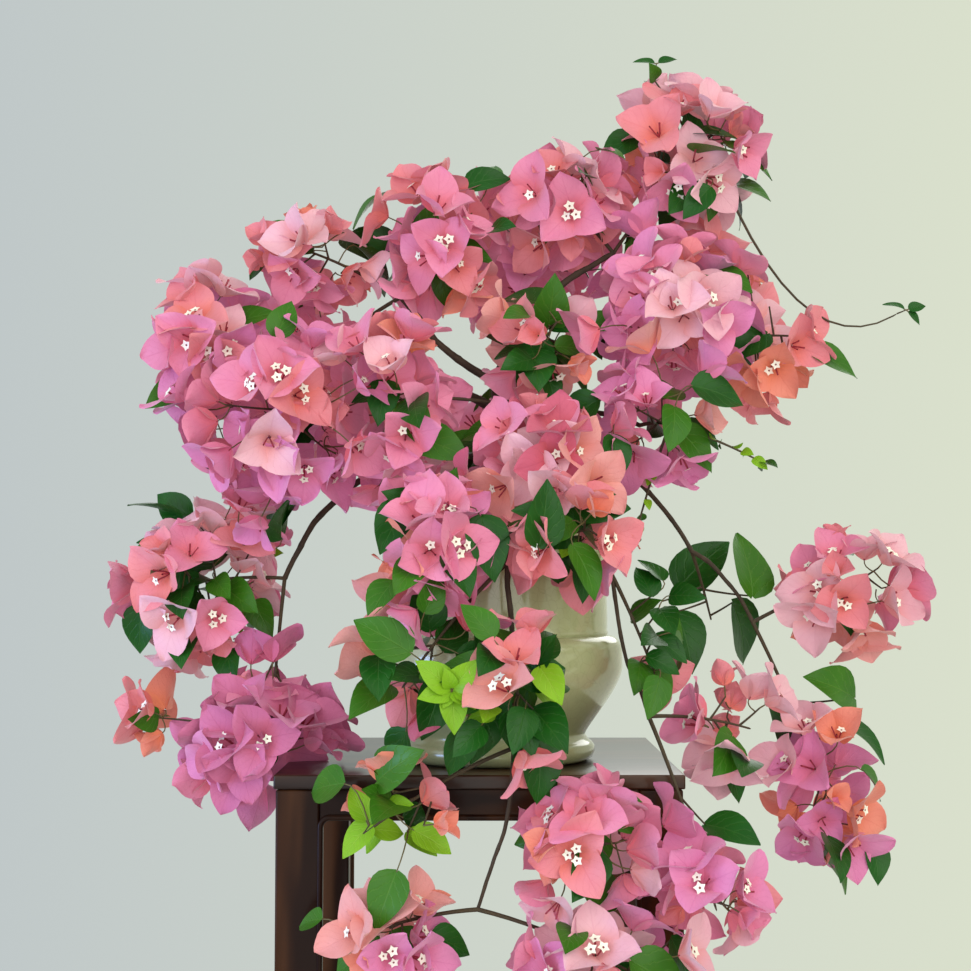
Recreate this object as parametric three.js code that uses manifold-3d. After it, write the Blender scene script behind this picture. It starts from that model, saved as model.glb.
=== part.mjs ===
// A potted bougainvillea in flower: a celadon pot of soil on a square hardwood stand, a short
// trunk, boughs that arch over the rim, and a mass of blossom and leaves at the end of each.
// Millimetres, +Z up. Everything is laid out from the pot's axis at floor level, and the whole
// is moved at the end so that the origin is the middle of its footprint on the floor.

import * as THREE from "three";
import { mergeVertices } from "three/addons/utils/BufferGeometryUtils.js";
import Module from "manifold-3d";

const wasm = await Module();
wasm.setup();

// The gap that pieces which touch keep from each other.
const GAP = 0.3;

// The stand: a square top board on four legs, with an apron board between each pair.
const STAND_HEIGHT = 460;
const STAND_WIDTH = 400;
const STAND_MIDDLE = [-15.5, 50];
const TOP_THICKNESS = 14;
const TOP_OVERHANG = 2;
const TOP_EDGE = 2;
const LEG_WIDTH = 43;
const LEG_CHAMFER = 3;
const APRON_DROP = 27;
const APRON_THICKNESS = 20;
const APRON_CORNER = 10;
const APRON_SETBACK = 1.5;

// The pot, measured up from its own foot. The foot's roll, the belly and the inside are lists of
// radius and height: the roll goes up to the waist, and the inside goes down from the neck.
const POT_HEIGHT = 280;
const POT_WALL = 7;
const POT_FLOOR = 16;
const BODY_RADIUS = 135.5;
const SHOULDER_RADIUS = 16;
const NECK_RADIUS = 119.5;
const NECK_HEIGHT = 131;
const LIP_ROUND = 3;
const FOOT_ROLL = [[98, 0], [106, 10.4], [102, 20.8], [95.5, 26]];
const FOOT_STEPS = 3;
const BELLY = [[95.5, 28], [104, 44], [135.5, 78], [135.5, 100]];
const BELLY_STEPS = 5;
const SHOULDER_STEPS = 4;
const INSIDE = [[112.5, 124], [128.5, 115], [128.5, 96], [92.5, 40], [76.5, POT_FLOOR], [0, POT_FLOOR]];
const POT_SIDES = 24;
const SOIL_HEIGHT = 255;

// The trunk, from the flat cut on the soil to its fork.
const TRUNK_LEAN = [15, 0];
const TRUNK_FOOT = [-4, 0];
const TRUNK_HEIGHT = 157;
const TRUNK_FOOT_RADIUS = 19;
const TRUNK_RADIUS = 13;
const TRUNK_FORK_RADIUS = 10.5;
const FLARE_SHARE = 0.16;
const FLARE_RIBS = 3;
const FLARE_RIB_DEPTH = 0.14;
const TRUNK_SIDES = 12;
const TRUNK_STEPS = 9;
const TRUNK_STEP_GROWTH = 1.5;
const TRUNK_CAP_RISE = 3;
const TRUNK_CAP_RADIUS = 7;

// The limbs: each is one bend from its root to its tip.
const LIMB_SIDES = 6;
const LIMB_STEPS = 6;
const LIMB_TIP_STEPS = [0.6, 1];
const LIMB_TIP_SHARE = 0.2;

// Stems, twigs, leaves and blossoms, a little larger than life because there are fewer of them.
const STEM_ROOT_RADIUS = 2.3;
const STEM_TIP_RADIUS = 1.5;
const STEM_STEPS = 4;
const STEM_REACH = 0.35;
const STEM_RISE = 0.08;
const TWIG_ROOT_RADIUS = 1.3;
const TWIG_TIP_RADIUS = 0.9;
const TWIG_SIDES = 3;
const LEAF_LENGTH = 64;
const LEAF_WIDTH = 44;
const LEAF_THICKNESS = 1.6;
const LEAF_WIDEST = 0.4;
const LEAF_FOLD = 0.12;
const LEAF_DROOP = 0.14;
const LEAF_HUB = 0.35;
const STALK_LENGTH = 8;
const STALK_RADIUS = 0.7;
const BLOSSOM_RADIUS = 42;
const BLOSSOM_DEPTH = 26;
const BLOSSOM_THICKNESS = 2.4;
const NOTCH_RADIUS = 0.74;
const NOTCH_DEPTH = 0.5;
const BLOSSOM_HUB = 0.6;
const BRACTS = 3;

// Leaves at the side of a twig: how much they lean along it and away from it, where the first
// stands, the steps to the next along and round the twig, and their least size and its range.
const SIDE_LEAF = { along: 0.6, away: 0.9, first: 0.5, step: 0.3, turn: 0.45, size: 0.7, range: 0.25 };

// Runners: where one leaves the stem, how it rises and how thick it starts, where its leaves
// stand and how they lean, and the size, turn and distance of a blossom at its end.
const RUNNER = { root: 0.85, rise: 0.06, thicker: 1.3, leafEnd: 0.98, leafStep: 0.22, lean: 0.45 };
const RUNNER_BLOSSOM = { root: 0.95, ahead: 2, spin: 0.4, size: 0.85 };

// How far a mass keeps from its neighbours, and its leaves from limbs that pass through.
const CELL_MARGIN = 1.5;
const LIMB_CLEARANCE = 2;
const POT_CLEARANCE = 3;
const BEAD_SPACING = 5;
const FAR_AWAY = 10;

// Twigs are tried in directions spread evenly round the middle of their mass, each first with
// its end far out and then nearer, until the mass has all that it needs.
const TRIES_PER_TWIG = 5;
const REACH_SHARES = [0.8, 0.7, 0.6, 0.5, 0.4, 0.3];
const GOLDEN_ANGLE = Math.PI * (3 - Math.sqrt(5));
const HEIGHT_TURN = 0.7548776662;
const SPREAD = 0.92;
const BLOSSOM_LIFT = 0.25;
const LEAF_LIFT = -0.3;
const BLOSSOM_SHIFT = 0.7;
const LEAF_SHIFT = 1.6;
const TURN_SHIFT = 0.5;
const FIRST_TWIG = 0.4;
const LEAST_SCALE = 0.88;
const SCALE_RANGE = 0.24;
const DRAWS_PER_TRY = 8;

// Small masses have smaller blades: the mean half-size at which they are full size, and the
// least scale.
const FULL_SIZE = 82;
const LEAST_BLADE_SCALE = 0.7;

// The even stream of random numbers, and its seed for each mass.
const RANDOM_FACTOR = 16807;
const RANDOM_MODULUS = 2147483647;
const SEED_START = 104729;
const SEED_STEP = 7919;

// How much a fused mass may be evened out to lose needless triangles.
const SIMPLER_BY = 0.05;

// Each limb: the limb it grows from, how far along that, its tip, how far out its bend lies as
// a share of the way, the rise of the bend above its root, and its radius at root and tip.
const LIMBS = {
  bough_top: { from: "trunk", at: 1, tip: [129, 10, 1003], reach: 0.3, rise: 95, radii: [6.5, 4] },
  bough_left_high: { from: "trunk", at: 0.9, tip: [-101, 0, 953], reach: 0.6, rise: 35, radii: [5.5, 4] },
  bough_left: { from: "trunk", at: 0.72, tip: [-215, -20, 873], reach: 0.5, rise: 60, radii: [6, 4] },
  bough_left_low: { from: "trunk", at: 0.4, tip: [-220, -30, 651], reach: 0.75, rise: 22, radii: [5.5, 4] },
  bough_right_high: { from: "trunk", at: 0.86, tip: [209, 0, 900], reach: 0.5, rise: 70, radii: [6.5, 4] },
  bough_right: { from: "trunk", at: 0.64, tip: [150, -60, 809], reach: 0.5, rise: 30, radii: [5, 3.5] },
  bough_front: { from: "trunk", at: 0.8, tip: [13, -70, 829], reach: 0.6, rise: 12, radii: [5.5, 4] },
  bough_back: { from: "trunk", at: 0.76, tip: [12, 110, 815], reach: 0.5, rise: 20, radii: [6, 4] },
  cane_right: { from: "trunk", at: 0.52, tip: [208, -20, 679], reach: 0.72, rise: -2, radii: [5, 4] },
  cane_right_end: {
    from: "cane_right", at: 1, tip: [270, -30, 605], reach: 0.6, rise: -20, radii: [3.6, 3.4],
  },
  cane_pot: { from: "trunk", at: 0.4, tip: [117, -110, 654], reach: 0.86, rise: 26, radii: [4.6, 3.6] },
  cane_pot_end: { from: "cane_pot", at: 1, tip: [151, -130, 515], reach: 0.3, rise: -80, radii: [3.2, 3] },
  cascade_top: { from: "trunk", at: 0.26, tip: [12, -165, 666], reach: 0.83, rise: 46, radii: [6, 4.5] },
  cascade_middle: {
    from: "cascade_top", at: 1, tip: [17, -190, 490], reach: 0.9, rise: -60, radii: [4, 3.6],
  },
  cascade_end: {
    from: "cascade_middle", at: 1, tip: [-17, -195, 340], reach: 0.1, rise: -80, radii: [3.2, 2.8],
  },
};

// The masses that grow from each limb's tip: the middle of each and its half-size along X, Y
// and Z, how many twigs end in a blossom and how many in a leaf, and the twigs that run out
// past it, with the leaves at their ends.
const MASSES = {
  bough_top: [
    { name: "peak", middle: [216, 20, 1112], half: [94, 88, 92], blossoms: 8, leafy: 2,
      runners: [{ tip: [176, 20, 1196], leaves: 2, size: 0.42 }] },
    { name: "crown", middle: [78, 5, 1055], half: [84, 80, 86], blossoms: 8, leafy: 2 },
  ],
  bough_left_high: [
    { name: "upper_left", middle: [-58, -5, 1000], half: [82, 80, 100], blossoms: 8, leafy: 3 },
    { name: "left_shoulder", middle: [-190, 5, 1000], half: [100, 78, 66], blossoms: 7, leafy: 2 },
    { name: "back_left", middle: [-219, 105, 880], half: [100, 84, 104], blossoms: 8, leafy: 3 },
  ],
  bough_left: [
    { name: "left_edge", middle: [-300, -20, 898], half: [84, 80, 98], blossoms: 8, leafy: 1 },
    { name: "left_heart", middle: [-210, -85, 818], half: [110, 88, 110], blossoms: 12, leafy: 2 },
  ],
  bough_left_low: [
    { name: "left_low", middle: [-301, -30, 644], half: [106, 88, 98], blossoms: 9, leafy: 4 },
    { name: "left_tail", middle: [-229, -72, 482], half: [98, 80, 80], blossoms: 8, leafy: 2,
      runners: [{ tip: [-345, -60, 508], leaves: 2, size: 0.6, blossom: true }] },
  ],
  bough_right_high: [
    { name: "right_heart", middle: [186, -55, 930], half: [92, 86, 92], blossoms: 9, leafy: 2 },
    { name: "right_edge", middle: [290, -20, 905], half: [72, 72, 104], blossoms: 6, leafy: 3,
      runners: [{ tip: [428, -20, 932], leaves: 2, size: 0.5 }] },
    { name: "back_right", middle: [221, 105, 948], half: [100, 84, 98], blossoms: 8, leafy: 3 },
  ],
  bough_right: [
    { name: "right_under", middle: [168, -100, 805], half: [82, 64, 72], blossoms: 6, leafy: 4,
      runners: [
        { tip: [272, -90, 768], leaves: 3, size: 0.34 },
        { tip: [141, -90, 690], leaves: 2, size: 0.4 },
      ] },
  ],
  bough_front: [
    { name: "breast_left", middle: [-92, -105, 828], half: [66, 76, 104], blossoms: 8, leafy: 2 },
    { name: "breast_right", middle: [50, -130, 775], half: [88, 66, 64], blossoms: 7, leafy: 2 },
    { name: "centre", middle: [52, -78, 894], half: [70, 70, 70], blossoms: 6, leafy: 3 },
  ],
  bough_back: [
    { name: "back_top", middle: [41, 125, 1006], half: [94, 84, 94], blossoms: 7, leafy: 3 },
    { name: "back_low", middle: [13, 168, 801], half: [112, 84, 86], blossoms: 7, leafy: 3 },
    { name: "back_pot", middle: [8, 208, 630], half: [108, 71, 102], blossoms: 7, leafy: 3 },
  ],
  cascade_top: [
    { name: "rim_left", middle: [-52, -188, 680], half: [76, 66, 68], blossoms: 7, leafy: 2 },
    { name: "rim_right", middle: [72, -190, 690], half: [58, 60, 60], blossoms: 4, leafy: 2 },
    { name: "pot_left", middle: [-72, -210, 566], half: [74, 64, 72], blossoms: 4, leafy: 3 },
  ],
  cascade_middle: [
    { name: "pot_front", middle: [20, -240, 545], half: [72, 64, 92], blossoms: 3, leafy: 6 },
    { name: "skirt_left", middle: [-100, -220, 425], half: [75, 66, 66], blossoms: 3, leafy: 4 },
    { name: "skirt_right", middle: [90, -220, 405], half: [78, 64, 70], blossoms: 6, leafy: 2 },
  ],
  cascade_end: [
    { name: "low_left", middle: [-103, -208, 322], half: [80, 66, 68], blossoms: 5, leafy: 3 },
    { name: "low_middle", middle: [100, -218, 292], half: [106, 72, 72], blossoms: 8, leafy: 2 },
  ],
  cane_pot: [{ name: "pot_right", middle: [150, -120, 585], half: [52, 58, 94], blossoms: 2, leafy: 5 }],
  cane_pot_end: [
    { name: "right_hang", middle: [235, -100, 503], half: [68, 66, 74], blossoms: 6, leafy: 1 },
    { name: "low_right", middle: [198, -208, 366], half: [68, 64, 78], blossoms: 5, leafy: 2 },
  ],
  cane_right: [{ name: "cane_leaves", middle: [225, 10, 632], half: [84, 70, 92], blossoms: 1, leafy: 6 }],
  cane_right_end: [
    { name: "right_arm", middle: [362, -20, 642], half: [102, 82, 80], blossoms: 9, leafy: 1 },
    { name: "right_fall", middle: [344, -45, 440], half: [76, 70, 142], blossoms: 8, leafy: 4 },
  ],
};

// Materials.
const wood = new THREE.MeshStandardMaterial({ color: 0x35231c, roughness: 0.35, metalness: 0 });
const glaze = new THREE.MeshStandardMaterial({ color: 0xb4b996, roughness: 0.2, metalness: 0 });
const soil = new THREE.MeshStandardMaterial({ color: 0x33261c, roughness: 0.95, metalness: 0 });
const bark = new THREE.MeshStandardMaterial({ color: 0x3a3028, roughness: 0.85, metalness: 0 });
const blossom = new THREE.MeshStandardMaterial({ color: 0xd8688a, roughness: 0.7, metalness: 0 });

const UP = new THREE.Vector3(0, 0, 1);
const SIDEWAYS = new THREE.Vector3(1, 0, 0);

function named(name, geometry, material) {
  const mesh = new THREE.Mesh(geometry, material);
  mesh.name = name;
  return mesh;
}

function point(values) {
  return new THREE.Vector3(...values);
}

// Closed geometry to a solid, and back.
function toSolid(geometry) {
  const bare = geometry.index ? geometry.clone() : geometry;
  bare.deleteAttribute("normal");
  bare.deleteAttribute("uv");
  const merged = mergeVertices(bare, 1e-4);
  return new wasm.Manifold(
    new wasm.Mesh({
      numProp: 3,
      vertProperties: merged.attributes.position.array,
      triVerts: new Uint32Array(merged.index.array),
    }),
  );
}

function toGeometry(solid) {
  const mesh = solid.getMesh();
  const geometry = new THREE.BufferGeometry();
  geometry.setAttribute("position", new THREE.BufferAttribute(mesh.vertProperties, 3));
  geometry.setIndex(new THREE.BufferAttribute(mesh.triVerts, 1));
  geometry.computeVertexNormals();
  return geometry;
}

// The largest piece of a solid, without loose scraps or sealed hollows.
function largestPiece(solid) {
  const pieces = solid.decompose();
  return pieces.reduce((best, piece) => (piece.volume() > best.volume() ? piece : best));
}

// The stand.
function board(width, depth, thickness, edge) {
  const outline = new THREE.Shape();
  outline.moveTo(-width / 2, -depth / 2);
  outline.lineTo(width / 2, -depth / 2);
  outline.lineTo(width / 2, depth / 2);
  outline.lineTo(-width / 2, depth / 2);
  outline.closePath();
  const settings = {
    depth: thickness - 2 * edge,
    bevelEnabled: true,
    bevelSize: edge,
    bevelOffset: -edge,
    bevelThickness: edge,
    bevelSegments: 1,
  };
  const geometry = new THREE.ExtrudeGeometry(outline, settings);
  geometry.translate(0, 0, edge);
  return geometry;
}

function legOutline() {
  const half = LEG_WIDTH / 2;
  const flat = half - LEG_CHAMFER;
  const outline = new THREE.Shape();
  outline.moveTo(-flat, -half);
  outline.lineTo(flat, -half);
  outline.lineTo(half, -flat);
  outline.lineTo(half, flat);
  outline.lineTo(flat, half);
  outline.lineTo(-flat, half);
  outline.lineTo(-half, flat);
  outline.lineTo(-half, -flat);
  outline.closePath();
  return outline;
}

// An apron hangs below the top and turns down to the legs in a round corner at each end.
function apronOutline(length) {
  const half = length / 2;
  const drop = APRON_DROP + APRON_CORNER;
  const outline = new THREE.Shape();
  outline.moveTo(-half, 0);
  outline.lineTo(-half, -drop);
  outline.absarc(-half + APRON_CORNER, -drop, APRON_CORNER, Math.PI, Math.PI / 2, true);
  outline.lineTo(half - APRON_CORNER, -APRON_DROP);
  outline.absarc(half - APRON_CORNER, -drop, APRON_CORNER, Math.PI / 2, 0, true);
  outline.lineTo(half, 0);
  outline.closePath();
  return outline;
}

function makeStand() {
  const stand = new THREE.Group();
  stand.position.set(STAND_MIDDLE[0], STAND_MIDDLE[1], 0);
  const legTop = STAND_HEIGHT - TOP_THICKNESS - GAP;
  const legMiddle = STAND_WIDTH / 2 - TOP_OVERHANG - LEG_WIDTH / 2;

  const top = named("stand_top", board(STAND_WIDTH, STAND_WIDTH, TOP_THICKNESS, TOP_EDGE), wood);
  top.position.z = STAND_HEIGHT - TOP_THICKNESS;
  stand.add(top);

  const corners = [
    ["stand_leg_front_left", -1, -1],
    ["stand_leg_front_right", 1, -1],
    ["stand_leg_back_left", -1, 1],
    ["stand_leg_back_right", 1, 1],
  ];
  for (const [name, x, y] of corners) {
    const geometry = new THREE.ExtrudeGeometry(legOutline(), { depth: legTop, bevelEnabled: false });
    const leg = named(name, geometry, wood);
    leg.position.set(x * legMiddle, y * legMiddle, 0);
    stand.add(leg);
  }

  const apronLength = 2 * legMiddle - LEG_WIDTH - 2 * GAP;
  const apronOut = legMiddle + LEG_WIDTH / 2 - APRON_SETBACK - APRON_THICKNESS;
  const sides = [
    ["stand_apron_front", 0],
    ["stand_apron_right", 1],
    ["stand_apron_back", 2],
    ["stand_apron_left", 3],
  ];
  for (const [name, quarter] of sides) {
    const settings = { depth: APRON_THICKNESS, bevelEnabled: false, curveSegments: 4 };
    const geometry = new THREE.ExtrudeGeometry(apronOutline(apronLength), settings);
    geometry.rotateX(Math.PI / 2);
    geometry.translate(0, -apronOut, legTop);
    const apron = named(name, geometry, wood);
    apron.rotation.z = (quarter * Math.PI) / 2;
    stand.add(apron);
  }
  return stand;
}

// The pot's outline from the middle of its underside, out and up to the lip.
function potOutside() {
  const flat = ([radius, height]) => new THREE.Vector2(radius, height);
  const foot = new THREE.SplineCurve(FOOT_ROLL.map(flat));
  const belly = new THREE.CubicBezierCurve(...BELLY.map(flat));
  const outline = [new THREE.Vector2(0, 0)];
  outline.push(...foot.getPoints(FOOT_STEPS));
  outline.push(...belly.getPoints(BELLY_STEPS));
  for (let step = 0; step < SHOULDER_STEPS; step += 1) {
    const angle = (step / SHOULDER_STEPS) * (Math.PI / 2);
    const radius = NECK_RADIUS + SHOULDER_RADIUS * Math.cos(angle);
    const height = NECK_HEIGHT - SHOULDER_RADIUS + SHOULDER_RADIUS * Math.sin(angle);
    outline.push(new THREE.Vector2(radius, height));
  }
  outline.push(new THREE.Vector2(NECK_RADIUS, NECK_HEIGHT));
  outline.push(new THREE.Vector2(NECK_RADIUS, POT_HEIGHT - LIP_ROUND));
  outline.push(new THREE.Vector2(NECK_RADIUS - LIP_ROUND, POT_HEIGHT));
  return outline;
}

// The inside of the pot, from the neck down to its floor, drawn in by a given amount.
function potInside(inset) {
  return INSIDE.map(([radius, height]) => {
    const level = height === POT_FLOOR ? height + inset : height;
    return new THREE.Vector2(Math.max(0, radius - inset), level);
  });
}

function turned(outline) {
  const geometry = new THREE.LatheGeometry(outline, POT_SIDES);
  geometry.rotateX(Math.PI / 2);
  return geometry;
}

function makePot() {
  const lip = [
    new THREE.Vector2(NECK_RADIUS - POT_WALL + LIP_ROUND, POT_HEIGHT),
    new THREE.Vector2(NECK_RADIUS - POT_WALL, POT_HEIGHT - LIP_ROUND),
  ];
  const pot = named("pot", turned([...potOutside(), ...lip, ...potInside(0)]), glaze);
  const surface = [
    new THREE.Vector2(0, SOIL_HEIGHT),
    new THREE.Vector2(NECK_RADIUS - POT_WALL - GAP, SOIL_HEIGHT),
  ];
  const filling = named("soil", turned([...surface, ...potInside(GAP)].reverse()), soil);
  const group = new THREE.Group();
  group.position.z = STAND_HEIGHT + GAP;
  group.add(pot, filling);
  return group;
}

// A tapering round limb: a cylinder whose rings are laid along a curve, one ring a station.
// Each station is a point, the two directions across it, and a radius that may change round it.
function limbGeometry(stations, sides) {
  const geometry = new THREE.CylinderGeometry(1, 1, 1, sides, stations.length - 1);
  const position = geometry.attributes.position;
  for (let i = 0; i < position.count; i += 1) {
    const ring = Math.round((0.5 - position.getY(i)) * (stations.length - 1));
    const { middle, across, along, radius } = stations[stations.length - 1 - ring];
    const size = Math.hypot(position.getX(i), position.getZ(i));
    const angle = Math.atan2(position.getZ(i), position.getX(i));
    const reach = size * (typeof radius === "function" ? radius(angle) : radius);
    const place = middle
      .clone()
      .addScaledVector(across, reach * Math.cos(angle))
      .addScaledVector(along, -reach * Math.sin(angle));
    position.setXYZ(i, place.x, place.y, place.z);
  }
  return geometry;
}

// Stations along a curve, with a radius for each share of the way.
function stationsAlong(curve, steps, radiusAt) {
  const frames = curve.computeFrenetFrames(steps, false);
  const stations = [];
  for (let step = 0; step <= steps; step += 1) {
    stations.push({
      middle: curve.getPoint(step / steps),
      across: frames.normals[step],
      along: frames.binormals[step],
      radius: radiusAt(step / steps),
    });
  }
  return stations;
}

// A round end past the last station.
function roundEnd(stations, curve, radius) {
  const last = stations[stations.length - 1];
  const heading = curve.getTangent(1);
  for (const share of LIMB_TIP_STEPS) {
    stations.push({
      middle: last.middle.clone().addScaledVector(heading, share * radius),
      across: last.across,
      along: last.along,
      radius: radius * Math.max(Math.sqrt(1 - share * share), LIMB_TIP_SHARE),
    });
  }
}

// The trunk: a flared foot with a few ribs, then an even taper to the fork.
const SOIL_LEVEL = STAND_HEIGHT + GAP + SOIL_HEIGHT;
const trunkFoot = new THREE.Vector3(TRUNK_FOOT[0], TRUNK_FOOT[1], SOIL_LEVEL + GAP);
const trunkFork = new THREE.Vector3(
  TRUNK_FOOT[0] + TRUNK_LEAN[0],
  TRUNK_FOOT[1] + TRUNK_LEAN[1],
  SOIL_LEVEL + GAP + TRUNK_HEIGHT,
);

function trunkRadius(share) {
  const taper = TRUNK_RADIUS + (TRUNK_FORK_RADIUS - TRUNK_RADIUS) * share;
  const flare = Math.max(0, 1 - share / FLARE_SHARE);
  return taper + (TRUNK_FOOT_RADIUS - TRUNK_RADIUS) * flare * flare;
}

function trunkStations(extra) {
  const stations = [];
  for (let step = 0; step <= TRUNK_STEPS; step += 1) {
    const share = (step / TRUNK_STEPS) ** TRUNK_STEP_GROWTH;
    const ribs = FLARE_RIB_DEPTH * Math.max(0, 1 - share / (2 * FLARE_SHARE));
    const radius = trunkRadius(share) + extra;
    stations.push({
      middle: trunkFoot.clone().lerp(trunkFork, share),
      across: SIDEWAYS,
      along: new THREE.Vector3(0, 1, 0),
      radius: (angle) => radius * (1 + ribs * Math.cos(FLARE_RIBS * angle)),
    });
  }
  return stations;
}

// Limbs by name: the curve that each follows, its radii and where its tip is.
const limbs = new Map();
limbs.set("trunk", {
  curve: new THREE.LineCurve3(trunkFoot, trunkFork),
  radii: [TRUNK_RADIUS, TRUNK_FORK_RADIUS],
  tip: trunkFork,
});
for (const [name, limb] of Object.entries(LIMBS)) {
  const root = limbs.get(limb.from).curve.getPoint(limb.at);
  const tip = point(limb.tip);
  const bend = root.clone().lerp(tip, limb.reach);
  bend.z = root.z + limb.rise;
  limbs.set(name, {
    curve: new THREE.QuadraticBezierCurve3(root, bend, tip),
    radii: limb.radii,
    tip,
  });
}

function limbSolid(name, extra) {
  if (name === "trunk") {
    const stations = trunkStations(extra);
    const top = stations[stations.length - 1];
    const cap = top.middle.clone().addScaledVector(UP, TRUNK_CAP_RISE + extra);
    stations.push({ ...top, middle: cap, radius: TRUNK_CAP_RADIUS + extra });
    return toSolid(limbGeometry(stations, TRUNK_SIDES));
  }
  const { curve, radii } = limbs.get(name);
  const radiusAt = (share) => radii[0] + (radii[1] - radii[0]) * share + extra;
  const stations = stationsAlong(curve, LIMB_STEPS, radiusAt);
  roundEnd(stations, curve, radii[1] + extra);
  return toSolid(limbGeometry(stations, LIMB_SIDES));
}

// Each limb's root is cut to the side or end of the limb that carries it.
function makeLimbs() {
  const group = new THREE.Group();
  group.add(named("trunk", toGeometry(limbSolid("trunk", 0)), bark));
  for (const [name, { from }] of Object.entries(LIMBS)) {
    const cut = limbSolid(name, 0).subtract(limbSolid(from, GAP));
    group.add(named(name, toGeometry(largestPiece(cut)), bark));
  }
  return group;
}

// An even stream of numbers between 0 and 1, always the same for the same seed.
function makeRandom(seed) {
  let state = seed;
  return () => {
    state = (state * RANDOM_FACTOR) % RANDOM_MODULUS;
    return state / RANDOM_MODULUS;
  };
}

// The stem of a mass, from its limb's tip to a little past its middle.
function stemCurve(mass) {
  const root = limbs.get(mass.from).tip;
  const middle = point(mass.middle);
  const heading = middle.clone().sub(root).normalize();
  const end = middle.clone().add(point(mass.half).multiply(heading).multiplyScalar(STEM_REACH));
  const bend = root.clone().lerp(end, 0.5);
  bend.z += root.distanceTo(end) * STEM_RISE;
  return new THREE.QuadraticBezierCurve3(root, bend, end);
}

const masses = Object.entries(MASSES).flatMap(([from, list]) =>
  list.map((mass) => ({ ...mass, from })),
);
for (const mass of masses) {
  mass.centre = point(mass.middle);
  mass.size = (mass.half[0] + mass.half[1] + mass.half[2]) / 3;
  mass.stem = stemCurve(mass);
  mass.runnerLines = (mass.runners ?? []).map((runner) => {
    const tip = point(runner.tip);
    const root = mass.stem.getPoint(RUNNER.root);
    const bend = root.clone().lerp(tip, 0.5);
    bend.z += root.distanceTo(tip) * RUNNER.rise;
    return new THREE.QuadraticBezierCurve3(root, bend, tip);
  });
}

// Every limb, stem and runner as a row of beads with a radius and an owner.
function beadsAlong(curve, radius, owner) {
  const count = Math.ceil(curve.getLength() / BEAD_SPACING);
  return curve.getPoints(count).map((place) => ({ place, radius, owner }));
}

const beads = [];
for (const [name, limb] of limbs) {
  beads.push(...beadsAlong(limb.curve, Math.max(...limb.radii), name));
}
for (const mass of masses) {
  beads.push(...beadsAlong(mass.stem, STEM_ROOT_RADIUS, mass.name));
  for (const line of mass.runnerLines) {
    beads.push(...beadsAlong(line, TWIG_ROOT_RADIUS, mass.name));
  }
}

function clearOfBeads(mass, distanceTo, clearance) {
  return beads.every(
    (bead) => bead.owner === mass.name || distanceTo(bead.place) > bead.radius + clearance,
  );
}

function insideCell(mass, place) {
  return masses.every((other) => {
    if (other === mass) {
      return true;
    }
    const apart = other.centre.clone().sub(mass.centre);
    const distance = apart.length();
    const share = (distance * distance + mass.size ** 2 - other.size ** 2) / (2 * distance);
    return place.clone().sub(mass.centre).dot(apart) / distance < share - CELL_MARGIN;
  });
}

function insideReach(mass, place) {
  const [x, y, z] = mass.half;
  const offset = place.clone().sub(mass.centre);
  return (offset.x / x) ** 2 + (offset.y / y) ** 2 + (offset.z / z) ** 2 < 1;
}

function outsideOthers(mass, place) {
  return masses.every((other) => other === mass || !insideReach(other, place));
}

// The pot and the block under the stand's top board are kept free of leaves.
function clearOfPot(place) {
  const height = place.z - STAND_HEIGHT;
  const onStand = height < POT_CLEARANCE;
  const acrossX = Math.abs(place.x - STAND_MIDDLE[0]) < STAND_WIDTH / 2 + POT_CLEARANCE;
  const acrossY = Math.abs(place.y - STAND_MIDDLE[1]) < STAND_WIDTH / 2 + POT_CLEARANCE;
  if (onStand && acrossX && acrossY) {
    return false;
  }
  const radius = height < NECK_HEIGHT ? BODY_RADIUS : NECK_RADIUS;
  const beside = height < POT_HEIGHT + POT_CLEARANCE;
  return !(height > -1 && beside && Math.hypot(place.x, place.y) < radius + POT_CLEARANCE);
}

// A blade fits when it lies in its mass's own space, clear of the pot and of every limb and
// stem that passes, and isn't crowded by a blade that the mass already has.
function fits(mass, blade) {
  const corners = [...blade.outline, blade.middle];
  const inSpace = corners.every((place) => insideReach(mass, place) && insideCell(mass, place));
  return inSpace && roomFor(mass, blade) && bladeClear(mass, blade);
}

function roomFor(mass, blade) {
  return mass.blades.every(
    (other) => other.hub.distanceTo(blade.hub) > SPREAD * (other.hubRadius + blade.hubRadius),
  );
}

function bladeClear(mass, blade) {
  const { outline, middle } = blade;
  const halfway = outline.map((corner) => corner.clone().lerp(middle, 0.5));
  const sides = outline.map((corner, k) => corner.clone().lerp(outline[(k + 1) % outline.length], 0.5));
  if (![...outline, ...sides, ...halfway, middle].every(clearOfPot)) {
    return false;
  }
  const panels = outline.map(
    (corner, k) => new THREE.Triangle(corner, outline[(k + 1) % outline.length], middle),
  );
  const closest = new THREE.Vector3();
  const span = Math.max(...outline.map((corner) => corner.distanceTo(middle)));
  const distanceTo = (place) => {
    const away = place.distanceTo(middle) - span;
    if (away > FAR_AWAY) {
      return away;
    }
    return Math.min(...panels.map((panel) => panel.closestPointToPoint(place, closest).distanceTo(place)));
  };
  return clearOfBeads(mass, distanceTo, LIMB_CLEARANCE);
}

// A straight twig stays in its mass's cell, clear of the pot, every limb and other stems.
function twigClear(mass, root, end) {
  const line = new THREE.Line3(root, end);
  const steps = Math.ceil(line.distance() / BEAD_SPACING);
  for (let step = 0; step <= steps; step += 1) {
    const place = line.at(step / steps, new THREE.Vector3());
    if (!insideCell(mass, place) || !clearOfPot(place)) {
      return false;
    }
  }
  const closest = new THREE.Vector3();
  const distanceTo = (place) => line.closestPointToPoint(place, true, closest).distanceTo(place);
  return clearOfBeads(mass, distanceTo, TWIG_ROOT_RADIUS + LIMB_CLEARANCE);
}

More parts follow.
